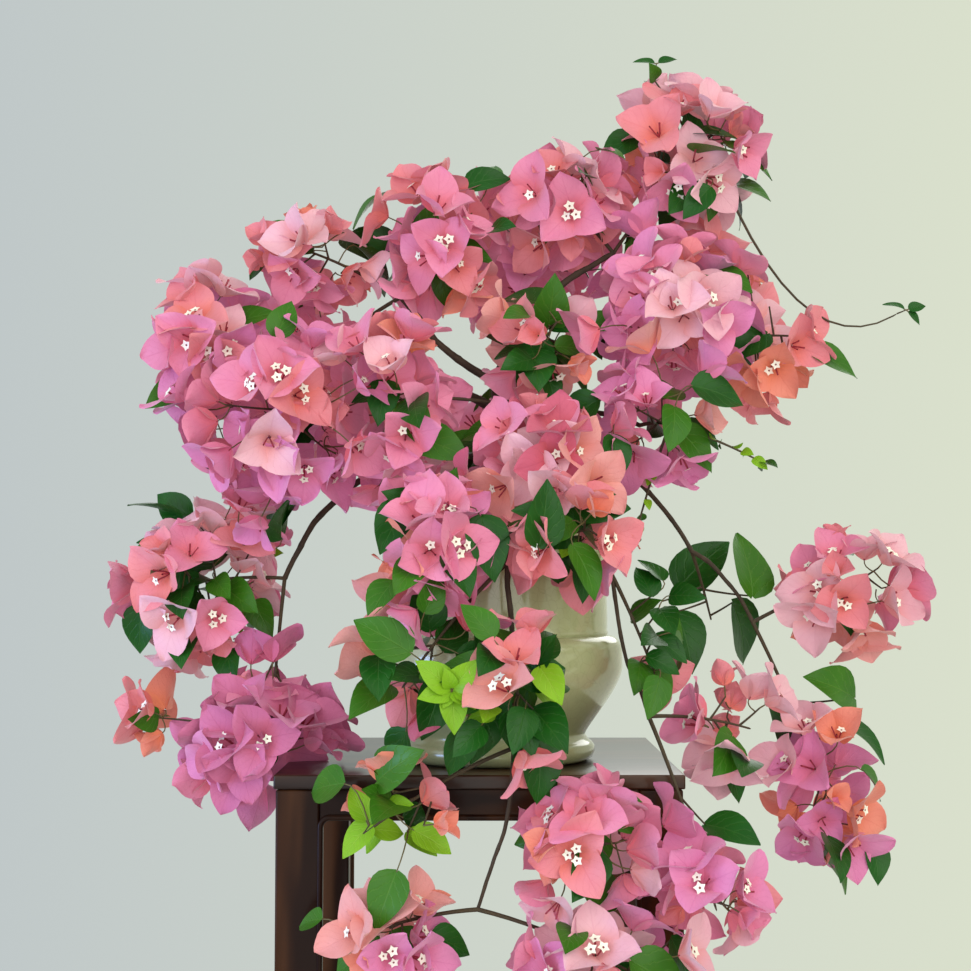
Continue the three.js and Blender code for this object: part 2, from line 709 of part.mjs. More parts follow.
// Two directions square to a given one.
function crossways(heading) {
  const reference = Math.abs(heading.z) < 0.9 ? UP : SIDEWAYS;
  const first = heading.clone().cross(reference).normalize();
  return [first, heading.clone().cross(first).normalize()];
}

// A blossom is a three-pointed cup: a ring of tips and notches round a middle near its root.
function blossomBlade(root, heading, spin, scale) {
  const [first, second] = crossways(heading);
  const outward = (angle) =>
    first.clone().multiplyScalar(Math.cos(angle)).addScaledVector(second, Math.sin(angle));
  const outline = [];
  for (let k = 0; k < 2 * BRACTS; k += 1) {
    const isTip = k % 2 === 0;
    const radius = BLOSSOM_RADIUS * scale * (isTip ? 1 : NOTCH_RADIUS);
    const depth = BLOSSOM_DEPTH * scale * (isTip ? 1 : NOTCH_DEPTH);
    const direction = outward(spin + (k * Math.PI) / BRACTS);
    outline.push(root.clone().addScaledVector(heading, depth).addScaledVector(direction, radius));
  }
  const middle = root.clone().addScaledVector(heading, BLOSSOM_THICKNESS);
  return {
    root,
    heading,
    outline,
    middle,
    lastRing: outline,
    tip: middle,
    start: outward(spin),
    hub: root.clone().addScaledVector(heading, BLOSSOM_HUB * BLOSSOM_DEPTH * scale),
    hubRadius: BLOSSOM_HUB * BLOSSOM_RADIUS * scale,
  };
}

// A leaf runs from its root to its tip, widest on the way, and is folded up along its rib.
function leafBlade(root, heading, face, scale) {
  const length = LEAF_LENGTH * scale;
  const width = LEAF_WIDTH * scale;
  const side = heading.clone().cross(face).normalize();
  const middle = root.clone().addScaledVector(heading, LEAF_WIDEST * length);
  const right = middle.clone().addScaledVector(side, width / 2).addScaledVector(face, LEAF_FOLD * width);
  const left = middle.clone().addScaledVector(side, -width / 2).addScaledVector(face, LEAF_FOLD * width);
  const over = middle.clone().addScaledVector(face, LEAF_THICKNESS / 2);
  const under = middle.clone().addScaledVector(face, -LEAF_THICKNESS / 2);
  const tip = root.clone().addScaledVector(heading, length).addScaledVector(face, -LEAF_DROOP * length);
  return {
    root,
    heading,
    outline: [root, right, tip, left],
    middle,
    lastRing: [over, right, under, left],
    tip,
    start: face,
    hub: middle,
    hubRadius: LEAF_HUB * length,
  };
}

// A ring of points round a heading, the first of them towards a given side.
function ringAround(middle, heading, start, radius) {
  const across = start.clone().projectOnPlane(heading).normalize();
  const along = heading.clone().cross(across);
  const ring = [];
  for (let k = 0; k < TWIG_SIDES; k += 1) {
    const angle = (k / TWIG_SIDES) * 2 * Math.PI;
    ring.push(
      middle
        .clone()
        .addScaledVector(across, radius * Math.cos(angle))
        .addScaledVector(along, radius * Math.sin(angle)),
    );
  }
  return ring;
}

// A closed skin over a row of rings, flat across the first and drawn to a point past the last.
// Rings may have different counts of points: each step goes on along the one that is behind.
function skinned(rings, tip) {
  const triangles = [];
  for (let k = 2; k < rings[0].length; k += 1) {
    triangles.push(0, k, k - 1);
  }
  let lower = 0;
  for (let r = 1; r < rings.length; r += 1) {
    const lowerCount = rings[r - 1].length;
    const upperCount = rings[r].length;
    const upper = lower + lowerCount;
    let i = 0;
    let j = 0;
    while (i < lowerCount || j < upperCount) {
      const onLower = lower + (i % lowerCount);
      const onUpper = upper + (j % upperCount);
      if ((i + 0.5) / lowerCount <= (j + 0.5) / upperCount) {
        i += 1;
        triangles.push(onLower, lower + (i % lowerCount), onUpper);
      } else {
        j += 1;
        triangles.push(onLower, upper + (j % upperCount), onUpper);
      }
    }
    lower = upper;
  }
  const points = [...rings.flat(), tip];
  const lastCount = rings[rings.length - 1].length;
  for (let k = 0; k < lastCount; k += 1) {
    triangles.push(lower + k, lower + ((k + 1) % lastCount), points.length - 1);
  }
  const geometry = new THREE.BufferGeometry().setFromPoints(points);
  geometry.setIndex(triangles);
  return toSolid(geometry);
}

// A twig or leaf stalk and the blade at its end, in one skin.
function addSprig(mass, root, radii, blade) {
  const heading = blade.root.clone().sub(root).normalize();
  const rings = [
    ringAround(root, heading, blade.start, radii[0]),
    ringAround(blade.root, blade.heading, blade.start, radii[1]),
    blade.lastRing,
  ];
  mass.pieces.push(skinned(rings, blade.tip));
  mass.blades.push(blade);
}

// A three-sided stem.
function rod(line, radii, steps) {
  const radiusAt = (share) => radii[0] + (radii[1] - radii[0]) * share;
  return toSolid(limbGeometry(stationsAlong(line, steps, radiusAt), TWIG_SIDES));
}

// The direction of a twig from the middle of its mass: evenly spread, then shifted a little.
function twigDirection(mass, index, draws) {
  const height = 1 - 2 * ((0.5 + index * HEIGHT_TURN) % 1);
  const turn = index * GOLDEN_ANGLE + mass.turn + (draws[0] - 0.5) * TURN_SHIFT;
  const flat = Math.sqrt(1 - height * height);
  return new THREE.Vector3(flat * Math.cos(turn), flat * Math.sin(turn), height);
}

// One twig and what it carries. Each try draws the same count of random numbers, so a twig
// that is skipped doesn't change the ones after it.
function growTwig(mass, index, isBlossom, draws) {
  const outward = twigDirection(mass, index, draws);
  const ahead = 0.5 + 0.5 * outward.dot(mass.stem.getTangent(1));
  const root = mass.stem.getPoint(FIRST_TWIG + (1 - FIRST_TWIG) * ahead);
  const aside = new THREE.Vector3(draws[1] - 0.5, draws[2] - 0.5, draws[3] - 0.5);
  const heading = outward
    .clone()
    .addScaledVector(UP, isBlossom ? BLOSSOM_LIFT : LEAF_LIFT)
    .addScaledVector(aside, isBlossom ? BLOSSOM_SHIFT : LEAF_SHIFT)
    .normalize();
  const spin = draws[4] * 2 * Math.PI;
  const scale = mass.bladeScale * (LEAST_SCALE + SCALE_RANGE * draws[5]);
  const face = crossways(heading)[0].cross(heading).normalize();
  const backed = isBlossom ? 0 : LEAF_WIDEST * LEAF_LENGTH * scale;
  for (const reach of REACH_SHARES) {
    const place = mass.centre.clone().add(point(mass.half).multiply(outward).multiplyScalar(reach));
    const end = place.addScaledVector(heading, -backed);
    const blade = isBlossom
      ? blossomBlade(end, heading, spin, scale)
      : leafBlade(end, heading, face, scale);
    if (fits(mass, blade) && twigClear(mass, root, end)) {
      addSprig(mass, root, [TWIG_ROOT_RADIUS, TWIG_TIP_RADIUS], blade);
      addSideLeaves(mass, root, end, isBlossom ? 1 : 2, draws);
      return true;
    }
  }
  return false;
}

// Leaves on short stalks that stand out to the sides of a twig.
function addSideLeaves(mass, root, end, count, draws) {
  const heading = end.clone().sub(root).normalize();
  const [first, second] = crossways(heading);
  for (let k = 0; k < count; k += 1) {
    const angle = (draws[6] + k * SIDE_LEAF.turn) * 2 * Math.PI;
    const outward = first.clone().multiplyScalar(Math.cos(angle)).addScaledVector(second, Math.sin(angle));
    const { along, away } = SIDE_LEAF;
    const lean = heading.clone().multiplyScalar(along).addScaledVector(outward, away).normalize();
    const face = heading.clone().multiplyScalar(away).addScaledVector(outward, -along).normalize();
    const scale = mass.bladeScale * (SIDE_LEAF.size + SIDE_LEAF.range * draws[7]);
    const from = root.clone().lerp(end, SIDE_LEAF.first + SIDE_LEAF.step * k);
    addStalkedLeaf(mass, from, lean, face, scale, fits);
  }
}

function addStalkedLeaf(mass, from, lean, face, scale, isFree) {
  const leafRoot = from.clone().addScaledVector(lean, STALK_LENGTH * scale);
  const blade = leafBlade(leafRoot, lean, face, scale);
  if (isFree(mass, blade)) {
    addSprig(mass, from, [STALK_RADIUS, STALK_RADIUS], blade);
  }
}

// A runner is a long twig that ends outside the mass in a few small leaves or a blossom.
function growRunner(mass, runner, line) {
  mass.pieces.push(rod(line, [TWIG_ROOT_RADIUS * RUNNER.thicker, TWIG_TIP_RADIUS], STEM_STEPS));
  const heading = line.getTangent(1);
  const [first, second] = crossways(heading);
  const isFree = (owner, blade) =>
    blade.outline.every((place) => outsideOthers(owner, place)) && bladeClear(owner, blade);
  for (let k = 0; k < runner.leaves; k += 1) {
    const side = k % 2 === 0 ? 1 : -1;
    const lean = heading.clone().multiplyScalar(RUNNER.lean).addScaledVector(first, side).normalize();
    const from = line.getPoint(RUNNER.leafEnd - RUNNER.leafStep * Math.floor(k / 2));
    addStalkedLeaf(mass, from, lean, second, runner.size, isFree);
  }
  if (runner.blossom) {
    const { root, ahead, spin, size } = RUNNER_BLOSSOM;
    const end = line.getPoint(1).addScaledVector(heading, ahead);
    const blade = blossomBlade(end, heading, spin, size);
    addSprig(mass, line.getPoint(root), [TWIG_TIP_RADIUS, TWIG_TIP_RADIUS], blade);
  }
}

// The twigs of a mass: those that end in a blossom and those that end in a leaf are dealt out
// evenly, until it has all that it needs or every direction has been tried.
function growTwigs(mass, random) {
  const count = mass.blossoms + mass.leafy;
  const grown = { blossoms: 0, leafy: 0 };
  const leafyShare = mass.leafy / count;
  for (let k = 0; k < TRIES_PER_TWIG * count; k += 1) {
    const draws = Array.from({ length: DRAWS_PER_TRY }, random);
    const leafTurn = Math.floor((k + 1) * leafyShare) > Math.floor(k * leafyShare);
    const isLeafy = grown.blossoms === mass.blossoms || (leafTurn && grown.leafy < mass.leafy);
    const kind = isLeafy ? "leafy" : "blossoms";
    if (grown[kind] < mass[kind] && growTwig(mass, k, !isLeafy, draws)) {
      grown[kind] += 1;
    }
  }
}

// One mass: the stem, its twigs and blades and its runners, fused and cut clear of its limb
// and of what starts at the same tip before it.
function massSolid(mass, index) {
  const random = makeRandom((index + 1) * SEED_STEP + SEED_START);
  random();
  const stemRadii = [STEM_ROOT_RADIUS, STEM_TIP_RADIUS];
  mass.turn = random() * 2 * Math.PI;
  mass.bladeScale = Math.min(1, Math.max(LEAST_BLADE_SCALE, mass.size / FULL_SIZE));
  mass.blades = [];
  mass.pieces = [rod(mass.stem, stemRadii, STEM_STEPS)];
  growTwigs(mass, random);
  (mass.runners ?? []).forEach((runner, k) => growRunner(mass, runner, mass.runnerLines[k]));

  let whole = wasm.Manifold.union(mass.pieces).subtract(limbSolid(mass.from, GAP));
  for (const [name, limb] of Object.entries(LIMBS)) {
    if (limb.from === mass.from && limb.at === 1) {
      whole = whole.subtract(limbSolid(name, GAP));
    }
  }
  const widened = stemRadii.map((radius) => radius + 2 * GAP);
  for (const other of masses.slice(0, index)) {
    if (other.from === mass.from) {
      whole = whole.subtract(rod(other.stem, widened, STEM_STEPS));
    }
  }
  return largestPiece(whole.asOriginal().simplify(SIMPLER_BY));
}

const plant = new THREE.Group();
plant.add(makeStand(), makePot(), makeLimbs());
masses.forEach((mass, index) => {
  plant.add(named(mass.name, toGeometry(massSolid(mass, index)), blossom));
});

// The origin is the middle of the footprint, on the floor.
plant.updateMatrixWorld(true);
const space = new THREE.Box3().setFromObject(plant);
const middle = space.getCenter(new THREE.Vector3());
plant.position.set(-middle.x, -middle.y, -space.min.z);
plant.updateMatrixWorld(true);

export default plant;
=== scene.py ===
# %% [markdown]
# # A potted bougainvillea on its stand
# The real thing is a trained shrub in a celadon pot, on a square stand of dark hardwood.
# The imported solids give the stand, the pot, the trunk and the reach of every mass of blossom.
# This lesson grows the fine plant on the same limbs, and dresses the pot and the stand.
# Everything is measured in millimetres from the pot's axis, and turned into metres at the end.

# %% The frame
import math
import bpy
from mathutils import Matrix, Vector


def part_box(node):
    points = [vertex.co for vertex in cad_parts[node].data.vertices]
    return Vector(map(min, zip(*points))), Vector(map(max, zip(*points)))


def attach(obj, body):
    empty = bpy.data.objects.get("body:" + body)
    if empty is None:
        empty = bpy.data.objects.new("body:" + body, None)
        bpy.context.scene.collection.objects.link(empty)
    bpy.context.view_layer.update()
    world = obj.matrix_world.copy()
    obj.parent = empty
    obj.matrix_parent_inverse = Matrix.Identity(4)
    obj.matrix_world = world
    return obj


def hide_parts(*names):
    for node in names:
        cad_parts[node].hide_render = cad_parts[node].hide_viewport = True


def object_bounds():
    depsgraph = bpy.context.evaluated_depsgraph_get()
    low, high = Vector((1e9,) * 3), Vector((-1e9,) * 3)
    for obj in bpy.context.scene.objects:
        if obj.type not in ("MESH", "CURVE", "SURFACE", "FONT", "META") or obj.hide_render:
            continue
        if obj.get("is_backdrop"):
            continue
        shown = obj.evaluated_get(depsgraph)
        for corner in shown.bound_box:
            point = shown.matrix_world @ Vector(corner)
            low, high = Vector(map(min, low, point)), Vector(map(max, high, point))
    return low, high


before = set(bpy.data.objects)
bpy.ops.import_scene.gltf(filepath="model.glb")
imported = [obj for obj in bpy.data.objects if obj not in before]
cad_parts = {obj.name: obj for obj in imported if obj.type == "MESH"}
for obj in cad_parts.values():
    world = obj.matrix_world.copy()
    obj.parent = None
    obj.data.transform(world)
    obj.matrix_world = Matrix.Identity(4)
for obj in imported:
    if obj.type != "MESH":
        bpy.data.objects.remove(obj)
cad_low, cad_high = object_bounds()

from types import SimpleNamespace

import bmesh
import bpy
import numpy as np
from mathutils import Vector

pot_low, pot_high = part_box("pot")
POT_AXIS = np.array([(pot_low.x + pot_high.x) / 2, (pot_low.y + pot_high.y) / 2, 0.0])
print("frame nodes:", len(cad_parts), "pot axis:", POT_AXIS.round(4))


# %% [markdown]
# ## Working in millimetres
# A garden maker thinks in millimetres and Blender in metres. One helper turns a list of points
# on the pot's own axes into the frame's metres, and everything goes through it.

# %% Units
def metres(points):
    return np.asarray(points, float) * 0.001 + POT_AXIS


norm = np.linalg.norm
UP, SIDEWAYS = np.array([0.0, 0.0, 1.0]), np.array([1.0, 0.0, 0.0])
TURN = 2 * math.pi


def unit(direction):
    return direction / norm(direction)

# %% [markdown]
# ## The camera
# The photographer stood about 1.8 m away at half the height of the plant, and tilted the camera
# up a little. A lens of 62 mm on a 36 mm sensor gives the same perspective. The tilt could be
# faked with a lens shift, but a tilt keeps every other view of the plant straight too.

# %% Camera
PHOTO_SIDE = 971
FOCAL_PIXELS = 1677
HORIZON_PIXEL = 584
CAMERA_PLACE = (-9.6, -1790.0, 645.0)

camera_data = bpy.data.cameras.new("camera")
camera_data.sensor_width = 36.0
camera_data.lens = camera_data.sensor_width * FOCAL_PIXELS / PHOTO_SIDE
camera = bpy.data.objects.new("camera", camera_data)
bpy.context.scene.collection.objects.link(camera)
camera.location = metres(CAMERA_PLACE)
tilt = math.atan((HORIZON_PIXEL - PHOTO_SIDE / 2) / FOCAL_PIXELS)
camera.rotation_euler = (math.pi / 2 + tilt, 0.0, 0.0)
bpy.context.scene.camera = camera
bpy.context.scene.view_settings.view_transform = "Standard"
print("lens", round(camera_data.lens, 2), "mm, tilt", round(math.degrees(tilt), 2), "degrees")

# %% [markdown]
# ## Node trees
# The glow of the room and every finish are small trees of nodes. One helper makes a node and sets
# or links its inputs, so that a tree reads like a sum. The same trees could be clicked together
# by hand, but a script can be read, changed and run again.

# %% Node helpers
def node(tree, kind, output, inputs=(), **settings):
    """A new node. Each input has a name or a number, and takes a value or another output."""
    made = tree.nodes.new("ShaderNode" + kind)
    for setting, value in settings.items():
        setattr(made, setting, value)
    for socket, value in dict(inputs).items():
        if isinstance(value, bpy.types.NodeSocket):
            tree.links.new(value, made.inputs[socket])
        else:
            made.inputs[socket].default_value = value
    return made.outputs[output]


def calc(tree, operation, *values):
    return node(tree, "Math", 0, enumerate(values), operation=operation)


def scaled(tree, value, factor):
    return calc(tree, "MULTIPLY", value, factor)


def fade(tree, value, low, high):
    """1 where the value is at the low end, 0 at the high end, soft between."""
    inputs = {"Value": value, "From Min": low, "From Max": high, "To Min": 1.0, "To Max": 0.0}
    return node(tree, "MapRange", "Result", inputs, interpolation_type="SMOOTHSTEP")


def mixed(tree, share, first, second):
    return node(tree, "Mix", 2, {0: share, 6: first, 7: second}, data_type="RGBA")


def noise(tree, scale, detail=3.0, stretch=(1.0, 1.0, 1.0)):
    place = node(tree, "TexCoord", "Object")
    place = node(tree, "Mapping", "Vector", {"Vector": place, "Scale": stretch})
    return node(tree, "TexNoise", "Fac", {"Vector": place, "Scale": scale, "Detail": detail})


# %% [markdown]
# ## Light
# Petals look papery in soft light. The room is a pale even glow, and four wide lamps stand round
# the plant: the strongest up behind it, a warm one up on the right in front. A small blue one, low
# on the left, gives the pot its cool side. Small lamps would draw hard shadows on every petal.

# %% Studio
LEFT_OF_ROOM = (0.525, 0.575, 0.580, 1.0)
RIGHT_OF_ROOM = (0.700, 0.745, 0.605, 1.0)
FADE_END = 0.28
PLANT_MIDDLE = Vector((0.0, 0.0, 0.62))

world = bpy.data.worlds.new("studio")
bpy.context.scene.world = world
world.use_nodes = True
room = world.node_tree
sideways = node(room, "SeparateXYZ", "X", {"Vector": node(room, "TexCoord", "Generated")})
across = node(room, "MapRange", "Result",
              {"Value": sideways, "From Min": -FADE_END, "From Max": FADE_END})
glow = node(room, "ValToRGB", "Color", {"Fac": across})
for stop, tint in zip(glow.node.color_ramp.elements, (LEFT_OF_ROOM, RIGHT_OF_ROOM)):
    stop.color = tint
room.links.new(glow, room.nodes["Background"].inputs["Color"])


def add_lamp(name, place, watts, size, colour=(1.0, 1.0, 1.0)):
    data = bpy.data.lights.new(name, "AREA")
    data.energy, data.shape, data.size, data.color = watts, "DISK", size, colour
    lamp = bpy.data.objects.new(name, data)
    lamp.location = place
    lamp.rotation_euler = (PLANT_MIDDLE - Vector(place)).to_track_quat("-Z", "Y").to_euler()
    bpy.context.scene.collection.objects.link(lamp)


add_lamp("key_lamp", (1.4, -1.9, 2.1), 31.0, 2.8, (1.0, 0.96, 0.87))
add_lamp("fill_lamp", (-1.9, -1.6, 1.3), 24.0, 2.8, (0.93, 0.97, 1.0))
add_lamp("front_lamp", (0.2, -2.6, 0.7), 24.0, 2.8)
add_lamp("back_lamp", (0.6, 2.2, 2.2), 32.0, 2.6)
add_lamp("blue_lamp", (-1.3, -0.7, 0.4), 8.0, 0.6, (0.3, 0.5, 1.0))


# %% [markdown]
# ## Materials
# Each finish is Blender's own all-round shader. Values that are the same all over are set on the
# shader itself, and a tree adds the colour and a fine relief. Colours are written as they look on
# a screen; the shader wants them in even steps of light, so one helper turns them.

# %% Material helpers
def new_finish(name, roughness, **shader_values):
    material = bpy.data.materials.new(name)
    material.use_nodes = True
    shader = material.node_tree.nodes["Principled BSDF"]
    for socket, value in {"Roughness": roughness, **shader_values}.items():
        shader.inputs[socket.replace("_", " ")].default_value = value
    return material, material.node_tree, shader


def dress(tree, shader, base, height, strength, depth):
    """Gives a shader its colour and its relief."""
    relief = {"Height": height, "Strength": strength, "Distance": depth}
    tree.links.new(base, shader.inputs["Base Color"])
    tree.links.new(node(tree, "Bump", "Normal", relief), shader.inputs["Normal"])


def colour(red, green, blue):
    """A colour from its screen values, 0 to 255."""
    values = np.array([red, green, blue]) / 255
    linear = np.where(values > 0.04045, ((values + 0.055) / 1.055) ** 2.4, values / 12.92)
    return (*(float(value) for value in linear), 1.0)


def colours(shades):
    return [colour(*shade) for shade in shades]


# %% [markdown]
# ## Heaps of small shapes
# A shrub has thousands of petals and leaves. Instances would be quick, but the finished plant
# has to be plain meshes. So each kind is gathered in a heap of points and faces, and the heap
# becomes one mesh in one go, which is far faster than adding objects one by one.

# %% Heaps
class Heap:
    def __init__(self):
        self.points, self.faces, self.flat, self.count = [], [], [], 0

    def add(self, points, faces, uvs):
        """Faces all have the same number of corners; uvs belong to the points."""
        self.points.append(points)
        self.faces.append(np.asarray(faces) + self.count)
        self.flat.append(uvs)
        self.count += len(points)

    def mesh(self, name):
        points = metres(np.concatenate(self.points))
        flat = np.concatenate(self.flat)
        corners = np.concatenate([faces.ravel() for faces in self.faces])
        sizes = np.concatenate([np.full(len(faces), faces.shape[1]) for faces in self.faces])
        mesh = bpy.data.meshes.new(name)
        mesh.vertices.add(len(points))
        mesh.vertices.foreach_set("co", points.ravel())
        mesh.loops.add(len(corners))
        mesh.loops.foreach_set("vertex_index", corners)
        mesh.polygons.add(len(sizes))
        mesh.polygons.foreach_set("loop_start", np.concatenate([[0], np.cumsum(sizes)[:-1]]))
        mesh.update(calc_edges=True)
        layer = mesh.uv_layers.new(name="flat")
        layer.data.foreach_set("uv", flat[corners].ravel())
        mesh.shade_smooth()
        mesh.validate()
        return mesh


def place_piece(name, mesh, material, replaced=()):
    piece = bpy.data.objects.new(name, mesh)
    bpy.context.scene.collection.objects.link(piece)
    piece.data.materials.append(material)
    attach(piece, "root")
    if replaced:
        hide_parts(*replaced)
    print(name + ":", sum(len(face.vertices) - 2 for face in mesh.polygons), "triangles")


def grid_faces(rows, columns, closed=False):
    """Quads over a grid of rows; a closed grid joins its last column to its first."""
    last = columns if closed else columns - 1
    row, column = np.meshgrid(np.arange(rows - 1), np.arange(last), indexing="ij")
    following = (column + 1) % columns
    corners = [row * columns + column, row * columns + following]
    corners += [(row + 1) * columns + following, (row + 1) * columns + column]
    return np.stack(corners, -1).reshape(-1, 4)


# %% [markdown]
# ## Limbs
# Every limb is a single bend from its root on another limb to its tip, as gardeners tie young
# canes down. The table is the one that the solids are made by, so the bark lies on the solids.

# %% Limb table
POT_HEIGHT, SOIL_HEIGHT, STAND_HEIGHT, GAP = 280.0, 255.0, 460.0, 0.3
SOIL_LEVEL = STAND_HEIGHT + SOIL_HEIGHT + 2 * GAP
TRUNK_FOOT = np.array([-4.0, 0.0, SOIL_LEVEL])
TRUNK_FORK = np.array([11.0, 0.0, SOIL_LEVEL + 157.0])
TRUNK_RADII = (13.0, 10.5)
ALMOST_AT_TIP = 0.9999

# Name, what it grows from, how far along that, tip, reach of its bend, rise, radii.
LIMBS = [
    ("bough_top", "trunk", 1, (129, 10, 1003), 0.3, 95, (6.5, 4)),
    ("bough_left_high", "trunk", 0.9, (-101, 0, 953), 0.6, 35, (5.5, 4)),
    ("bough_left", "trunk", 0.72, (-215, -20, 873), 0.5, 60, (6, 4)),
    ("bough_left_low", "trunk", 0.4, (-220, -30, 651), 0.75, 22, (5.5, 4)),
    ("bough_right_high", "trunk", 0.86, (209, 0, 900), 0.5, 70, (6.5, 4)),
    ("bough_right", "trunk", 0.64, (150, -60, 809), 0.5, 30, (5, 3.5)),
    ("bough_front", "trunk", 0.8, (13, -70, 829), 0.6, 12, (5.5, 4)),
    ("bough_back", "trunk", 0.76, (12, 110, 815), 0.5, 20, (6, 4)),
    ("cane_right", "trunk", 0.52, (208, -20, 679), 0.72, -2, (5, 4)),
    ("cane_right_end", "cane_right", 1, (270, -30, 605), 0.6, -20, (3.6, 3.4)),
    ("cane_pot", "trunk", 0.4, (117, -110, 654), 0.86, 26, (4.6, 3.6)),
    ("cane_pot_end", "cane_pot", 1, (151, -130, 515), 0.3, -80, (3.2, 3)),
    ("cascade_top", "trunk", 0.26, (12, -165, 666), 0.83, 46, (6, 4.5)),
    ("cascade_middle", "cascade_top", 1, (17, -190, 490), 0.9, -60, (4, 3.6)),
    ("cascade_end", "cascade_middle", 1, (-17, -195, 340), 0.1, -80, (3.2, 2.8)),
]


def along(curve, share):
    """A point, or a row of points, on a bend given by its root, its pull and its tip."""
    share = np.asarray(share, float)[..., None]
    root, pull, tip = curve
    return (1 - share) ** 2 * root + 2 * (1 - share) * share * pull + share**2 * tip


def length_of(curve):
    places = along(curve, np.linspace(0, 1, 201))
    return float(norm(np.diff(places, axis=0), axis=1).sum())


def heading_at_tip(curve):
    return unit(along(curve, 1.0) - along(curve, ALMOST_AT_TIP))


limbs = {"trunk": (np.array([TRUNK_FOOT, (TRUNK_FOOT + TRUNK_FORK) / 2, TRUNK_FORK]), TRUNK_RADII)}
for name, carrier, share, tip, reach, rise, radii in LIMBS:
    root = along(limbs[carrier][0], share)
    pull = root + (np.array(tip, float) - root) * reach
    pull[2] = root[2] + rise
    limbs[name] = (np.array([root, pull, tip], float), radii)
print("limbs:", {name: round(length_of(curve)) for name, (curve, _) in limbs.items()})


# %% [markdown]
# ## Masses
# Each mass of blossom keeps to its own space: an egg round its middle, cut off where the space
# of a neighbour begins. The table says how many twigs end in blossom and how many in leaves.

# %% Mass table
def runner(tip, leaves, size, blossom=False):
    return SimpleNamespace(tip=np.array(tip, float), leaves=leaves, size=size, blossom=blossom)


# Limb, name, middle, half-size, blossoms, leafy twigs, and the runners that leave it.
MASSES = [
    ("bough_top", "peak", (216, 20, 1112), (94, 88, 92), 8, 2, [runner((176, 20, 1196), 2, 0.42)]),
    ("bough_top", "crown", (78, 5, 1055), (84, 80, 86), 8, 2),
    ("bough_left_high", "upper_left", (-58, -5, 1000), (82, 80, 100), 8, 3),
    ("bough_left_high", "left_shoulder", (-190, 5, 1000), (100, 78, 66), 7, 2),
    ("bough_left_high", "back_left", (-219, 105, 880), (100, 84, 104), 8, 3),
    ("bough_left", "left_edge", (-300, -20, 898), (84, 80, 98), 8, 1),
    ("bough_left", "left_heart", (-210, -85, 818), (110, 88, 110), 12, 2),
    ("bough_left_low", "left_low", (-301, -30, 644), (106, 88, 98), 9, 4),
    ("bough_left_low", "left_tail", (-229, -72, 482), (98, 80, 80), 8, 2,
     [runner((-345, -60, 508), 2, 0.6, True)]),
    ("bough_right_high", "right_heart", (186, -55, 930), (92, 86, 92), 9, 2),
    ("bough_right_high", "right_edge", (290, -20, 905), (72, 72, 104), 6, 3,
     [runner((428, -20, 932), 2, 0.5)]),
    ("bough_right_high", "back_right", (221, 105, 948), (100, 84, 98), 8, 3),
    ("bough_right", "right_under", (168, -100, 805), (82, 64, 72), 6, 4,
     [runner((272, -90, 768), 3, 0.34), runner((141, -90, 690), 2, 0.4)]),
    ("bough_front", "breast_left", (-92, -105, 828), (66, 76, 104), 8, 2),
    ("bough_front", "breast_right", (50, -130, 775), (88, 66, 64), 7, 2),
    ("bough_front", "centre", (52, -78, 894), (70, 70, 70), 6, 3),
    ("bough_back", "back_top", (41, 125, 1006), (94, 84, 94), 7, 3),
    ("bough_back", "back_low", (13, 168, 801), (112, 84, 86), 7, 3),
    ("bough_back", "back_pot", (8, 208, 630), (108, 71, 102), 7, 3),
    ("cascade_top", "rim_left", (-52, -188, 680), (76, 66, 68), 7, 2),
    ("cascade_top", "rim_right", (72, -190, 690), (58, 60, 60), 4, 2),
    ("cascade_top", "pot_left", (-72, -210, 566), (74, 64, 72), 4, 3),
    ("cascade_middle", "pot_front", (20, -240, 545), (72, 64, 92), 3, 6),
    ("cascade_middle", "skirt_left", (-100, -220, 425), (75, 66, 66), 3, 4),
    ("cascade_middle", "skirt_right", (90, -220, 405), (78, 64, 70), 6, 2),
    ("cascade_end", "low_left", (-103, -208, 322), (80, 66, 68), 5, 3),
    ("cascade_end", "low_middle", (100, -218, 292), (106, 72, 72), 8, 2),
    ("cane_pot", "pot_right", (150, -120, 585), (52, 58, 94), 2, 5),
    ("cane_pot_end", "right_hang", (235, -100, 503), (68, 66, 74), 6, 1),
    ("cane_pot_end", "low_right", (198, -208, 366), (68, 64, 78), 5, 2),
    ("cane_right", "cane_leaves", (225, 10, 632), (84, 70, 92), 1, 6),
    ("cane_right_end", "right_arm", (362, -20, 642), (102, 82, 80), 9, 1),
    ("cane_right_end", "right_fall", (344, -45, 440), (76, 70, 142), 8, 4),
]


# How far a stem goes into its mass and where a runner leaves it, as shares; how high both arch.
STEM_REACH, RUNNER_START, STEM_ARCH, RUNNER_ARCH = 0.35, 0.85, 0.08, 0.06


def arched(root, tip, arch):
    return np.array([root, (root + tip) / 2 + UP * norm(tip - root) * arch, tip])


def prepare(limb, name, middle, half, blossoms, leafy, runners=()):
    middle, half = np.array(middle, float), np.array(half, float)
    tip = limbs[limb][0][2]
    mass = SimpleNamespace(name=name, middle=middle, half=half, size=half.mean(), runners=runners)
    mass.wanted = {"blossom": blossoms, "leafy": leafy}
    mass.stem = arched(tip, middle + half * unit(middle - tip) * STEM_REACH, STEM_ARCH)
    for line in runners:
        line.curve = arched(along(mass.stem, RUNNER_START), line.tip, RUNNER_ARCH)
    mass.blades, mass.twigs, mass.sprays, mass.leaves = [], [], [], []
    return mass


